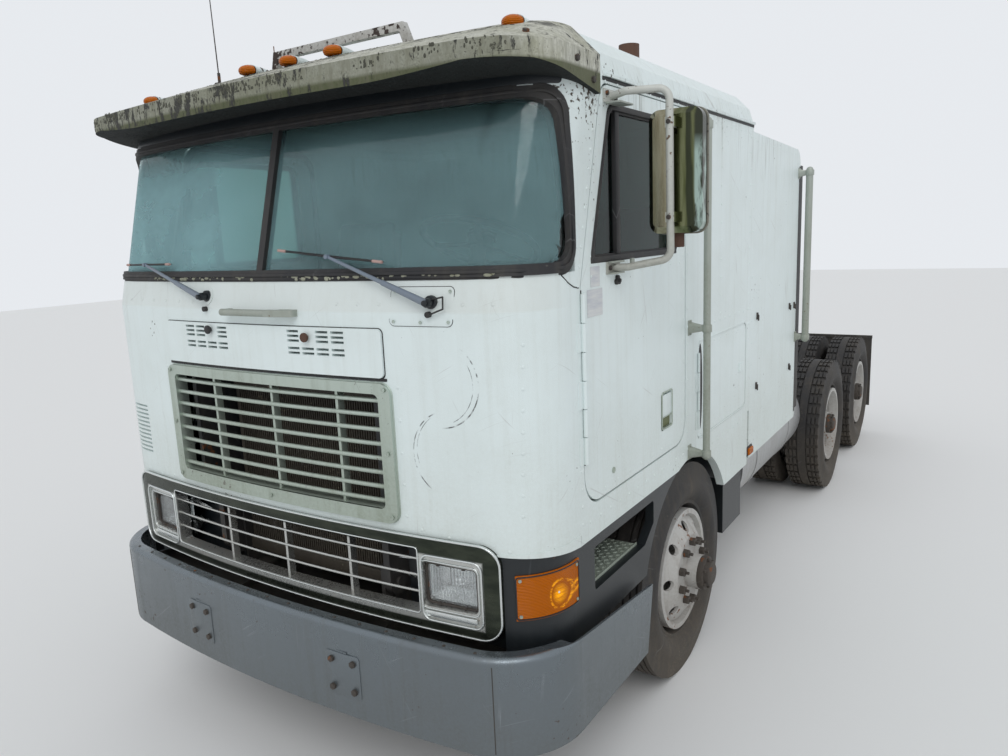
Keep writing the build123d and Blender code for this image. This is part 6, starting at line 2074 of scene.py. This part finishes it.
# Start along the skin, top, and the height of the lower edge at its start and its end
SKIRT = (0.935, 1.089, 1.086, 1.047)
PAD = (0.332, 0.488, 0.5, 0.67)
skirts = []
for side, word in SIDES:
    low, high = on_side(side, SKIRT[0], unrolled_end(1.07, back(0.3445)))
    skirt = panel((low, high, 1.02, SKIRT[1]), 0.0005, 0.003, 0.0035, 0, 0)
    sliced(skirt, "X", steps(low, high, 0.025))
    for point in skirt.data.vertices:
        if point.co.z < 1.06:
            share = (abs(point.co.x) - SKIRT[0]) / (max(abs(low), abs(high)) - SKIRT[0])
            point.co.z = SKIRT[2] + (SKIRT[3] - SKIRT[2]) * share**1.3
    skirts.append(roll(skirt))
finished(skirts, "corner_skirts", "cab", "white_paint")

rivets = [down_onto("front_bumper", x, -0.085 + 0.064 * x**2) for x in (0.118 * i for i in range(-9, 10))]
rivets = [spot for spot in rivets if spot and spot[1].z > 0.5 and spot[0].z > 0.7]
finished(copies(head(0.0065), stand_on(rivets)), "bumper_rivets", "chassis", "cast_parts")

pads, seams = [], []
for side, word in SIDES:
    down = [rearwards_onto("front_bumper", side * 1.013, z) for z in (0.44, 0.52, 0.6, 0.68, 0.752)]
    seams += chain([spot[0] for spot in down if spot], 0.0018, 6)
    low, high = on_side(side, *PAD[:2])
    pad = panel((low, high, *PAD[2:]), 0.014, 0.0028, 0.004, 0, 0.0012, 5)
    sliced(pad, "X", steps(low + 0.03, high - 0.03, 0.03))
    for point in pad.data.vertices:
        point.co.y += rearwards_onto("front_bumper", point.co.x, point.co.z)[0].y
    pads.append(pad)
finished(seams, "bumper_seams", "chassis", "black_rubber")
finished(pads, "bumper_pads", "chassis", "bumper_steel")
bolts = [rearwards_onto("front_bumper", x, z) for x in (-0.46, -0.36, 0.36, 0.46) for z in (0.53, 0.64)]
finished(copies(hexagon(0.013, 0.012), stand_on(bolts)), "bumper_bolts", "chassis", "cast_parts")
print("rivets on the bumper:", len(rivets))

# %% [markdown]
# ## The shade sheet behind the bumper
# A black rubber sheet behind the bumper stands in for the shade in the space under the cab: painted shade. It
# follows the bumper's bow, slopes down and ends in a folded edge, well below the grille that swings past it
# when the cab tilts.

# %% Shade sheet behind the bumper
SHADE_SHEET_HALF, SHADE_SHEET_REAR, SHADE_SHEET_Z, SHADE_SHEET_THICK = 1.1, 0.47, 0.662, 0.006
SHADE_SHEET_FALL = 0.055
# A black sheet where the space under the cab lies in shade: painted shade.
shade_sheet = bar((-SHADE_SHEET_HALF, back(0), SHADE_SHEET_Z), (SHADE_SHEET_HALF, back(SHADE_SHEET_REAR), SHADE_SHEET_Z + SHADE_SHEET_THICK))
sliced(shade_sheet, "X", steps(-SHADE_SHEET_HALF + 0.05, SHADE_SHEET_HALF - 0.05, 0.05))
pick(shade_sheet, "FACE", lambda part: part.normal.y > 0.9)
bpy.ops.mesh.extrude_region_move(TRANSFORM_OT_translate={"value": (0, 0.012, -0.05)})
object_mode()
for point in shade_sheet.data.vertices:
    if point.co.y < back(0.1):
        point.co.y = hit("front_bumper", (point.co.x, back(0.3), SHADE_SHEET_Z), (0, -1, 0))[0].y + 0.002
    else:
        point.co.z -= SHADE_SHEET_FALL
finished(soften_sharp(shade_sheet, 0.0015), "splash_apron", "chassis", "black_rubber")
print("apron reaches back to", SHADE_SHEET_REAR, "m behind the nose")

# %% [markdown]
# ## Behind the grille
# Light falls through the bars onto the radiator's core, thin upright tubes between two tanks. An inner lip
# brightens the edge of the opening.

# %% Radiator tubes and inner lip
TUBE_PITCH = 0.0125
(x_low, front, z_low), (x_high, rear, z_high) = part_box("radiator")
count = int((x_high - x_low - 0.04) / TUBE_PITCH)
tube = bar((-0.0022, front - 0.006, z_low + 0.055), (0.0022, front + 0.001, z_high - 0.055))
places = [(x_low + 0.02 + TUBE_PITCH * (i + 0.5), 0, 0) for i in range(count)]
core = [copies(tube, [Matrix.Translation(place) for place in places])]
for z in (z_low + 0.03, z_high - 0.03):
    tank = bar((x_low, front - 0.01, z - 0.028), (x_high, front + 0.002, z + 0.028))
    core.append(modify(tank, "BEVEL", width=0.006, segments=3))
finished(core, "radiator_tubes", "chassis", "radiator_core")

inner_lip = panel((-0.571, 0.571, 1.192, 1.61), 0.02, 0.0135, 0.01, 0.005, 0.002, 5)
outer_step = panel((-0.619, 0.619, 1.145, 1.646), 0.046, 0.004, 0.006, 0.006, 0.002, 6)
lips = [roll(piece, (-0.56, 0.56, 0.08)) for piece in (inner_lip, outer_step)]
finished(lips, "grille_lips", "cab", "grille_aluminium", angle=50)
print("radiator tubes:", count)

# %% [markdown]
# ## The rolling chassis
# Bolts join the cross members to the rails, filler caps sit on the tanks, the fifth wheel has its grease
# rings and release lever, and the lamps, flaps and exhaust have their brackets.

# %% Frame bolts, tank caps, fifth wheel, lamp rims and exhaust bands
BOLT_PLACES = (0.62, 1.2, 1.9, 2.74, 3.3, 3.95, 4.54, 5.2, 5.86, 6.45)
spots = stand_on([
    hit("frame_rails", (side * 0.8, back(y + dy), z), (-side, 0, 0))
    for side, word in SIDES
    for y in BOLT_PLACES
    for dy in (-0.035, 0.035)
    for z in (0.775, 0.855, 0.935)
])
finished(copies(hexagon(0.012, 0.01), spots), "frame_bolts", "chassis", "frame_paint")
print("frame bolts:", len(spots))

caps = []
for side, word in SIDES:
    top = down_onto("fuel_tanks", side * 0.8, 2.75)[0]
    for row in ((-0.01, 0.03, 0.045, 28), (0.028, 0.05, 0.056, 12)):
        caps.append(soften_sharp(stub(top, UP, *row), 0.004))
finished(caps, "tank_caps", "chassis", "tank_aluminium", "grille_aluminium")

(x_low, front, foot_z), (x_high, rear, top_z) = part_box("fifth_wheel_plate")
places = [(x, 0.5 * (front + rear) + (i - 2) * 0.1, 2) for x in (-0.27, 0.27) for i in range(5)]
found = [hit("fifth_wheel_plate", place, (0, 0, -1)) for place in places]
grooves = [on_surface(spot[0] - UP * 0.0025, UP) for spot in found if spot and spot[1].z > 0.9]
groove = shape("torus", major_radius=0.04, minor_radius=0.0035, major_segments=28, minor_segments=6)
finished(copies(groove, grooves), "grease_rings", "fifth_wheel", "cast_parts")
print("grease rings:", len(grooves))
z = foot_z + 0.046
lever = [
    rod((0.3, front + 0.22, foot_z + 0.05), (0.62, front + 0.2, z), 0.009, 12),
    rod((0.6, front + 0.202, z), (0.64, front + 0.26, z), 0.009, 12),
]
finished(lever, "release_lever", "fifth_wheel", "cast_parts")

flap_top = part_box("mud_flaps")[1][2]
places = [(side * (0.66 + 0.12 * i), 4, flap_top - 0.05) for side, word in SIDES for i in range(5)]
spots = stand_on([hit("mud_flaps", place, (0, -1, 0)) for place in places])
finished(copies(hexagon(0.01, 0.008), spots), "flap_bolts", "chassis", "frame_paint")

lamp_low, lamp_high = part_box("tail_lamps")
rim = panel((-0.42, -0.25, lamp_low[2] - 0.008, lamp_high[2] + 0.008), 0.012, 0, 0.022, 0.01, 0.002, 4)
rear_place = shift(0, lamp_high[1] - 0.004, 0)
rims = copies(rim, [rear_place @ Matrix.Scale(-side, 4, (1, 0, 0)) for side, word in SIDES])
finished(rims, "tail_lamp_rims", "chassis", "black_rubber")

stack_low, stack_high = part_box("exhaust_stack")
x, y = [(stack_low[i] + stack_high[i]) / 2 for i in (0, 1)]
bands = []
for z in (1.15, 1.85, 2.45):
    spot = hit("exhaust_stack", (x, 3, z), (0, -1, 0))
    if spot:
        radius = abs(spot[0].y - y)
        band = rod((x, y, z - 0.018), (x, y, z + 0.018), radius + 0.0035, 40)
        delete(band, lambda part: abs(part.normal.z) > 0.9)
        lug = bar((x - 0.012, y + radius, z - 0.016), (x + 0.012, y + radius + 0.034, z + 0.016))
        bands += [modify(band, "SOLIDIFY", thickness=0.003, offset=1), soften(lug, 0.003)]
finished(bands, "stack_bands", "chassis", "rusty_steel", "cast_parts")

# %% [markdown]
# ## The deck
# The deck behind the cab is checker plate with larger lozenges, and domed screws hold it down.

# %% Checker deck and its screws
DECK_PITCH = 0.032
(x_low, front, foot_z), (x_high, rear, top_z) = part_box("deck_plate")
lozenge = moved(shape("cylinder", vertices=4, radius=0.015, depth=0.003), Matrix.Diagonal((1, 0.38, 1, 1)))
columns = int((x_high - x_low - 0.03) / DECK_PITCH)
rows = int((rear - front - 0.03) / DECK_PITCH)
spots = lattice(x_low + 0.03, front + 0.03, top_z + 0.0008, DECK_PITCH, columns, rows)
places = [(x, front + 0.02 + 0.235 * i, top_z) for x in (x_low + 0.012, x_high - 0.012) for i in range(6)]
screws = copies(head(0.007), [on_surface(place, UP) for place in places if place[1] < rear])
finished([copies(lozenge, spots), screws], "deck_tread", "chassis", "grille_aluminium")
print("lozenges on the deck:", len(spots))
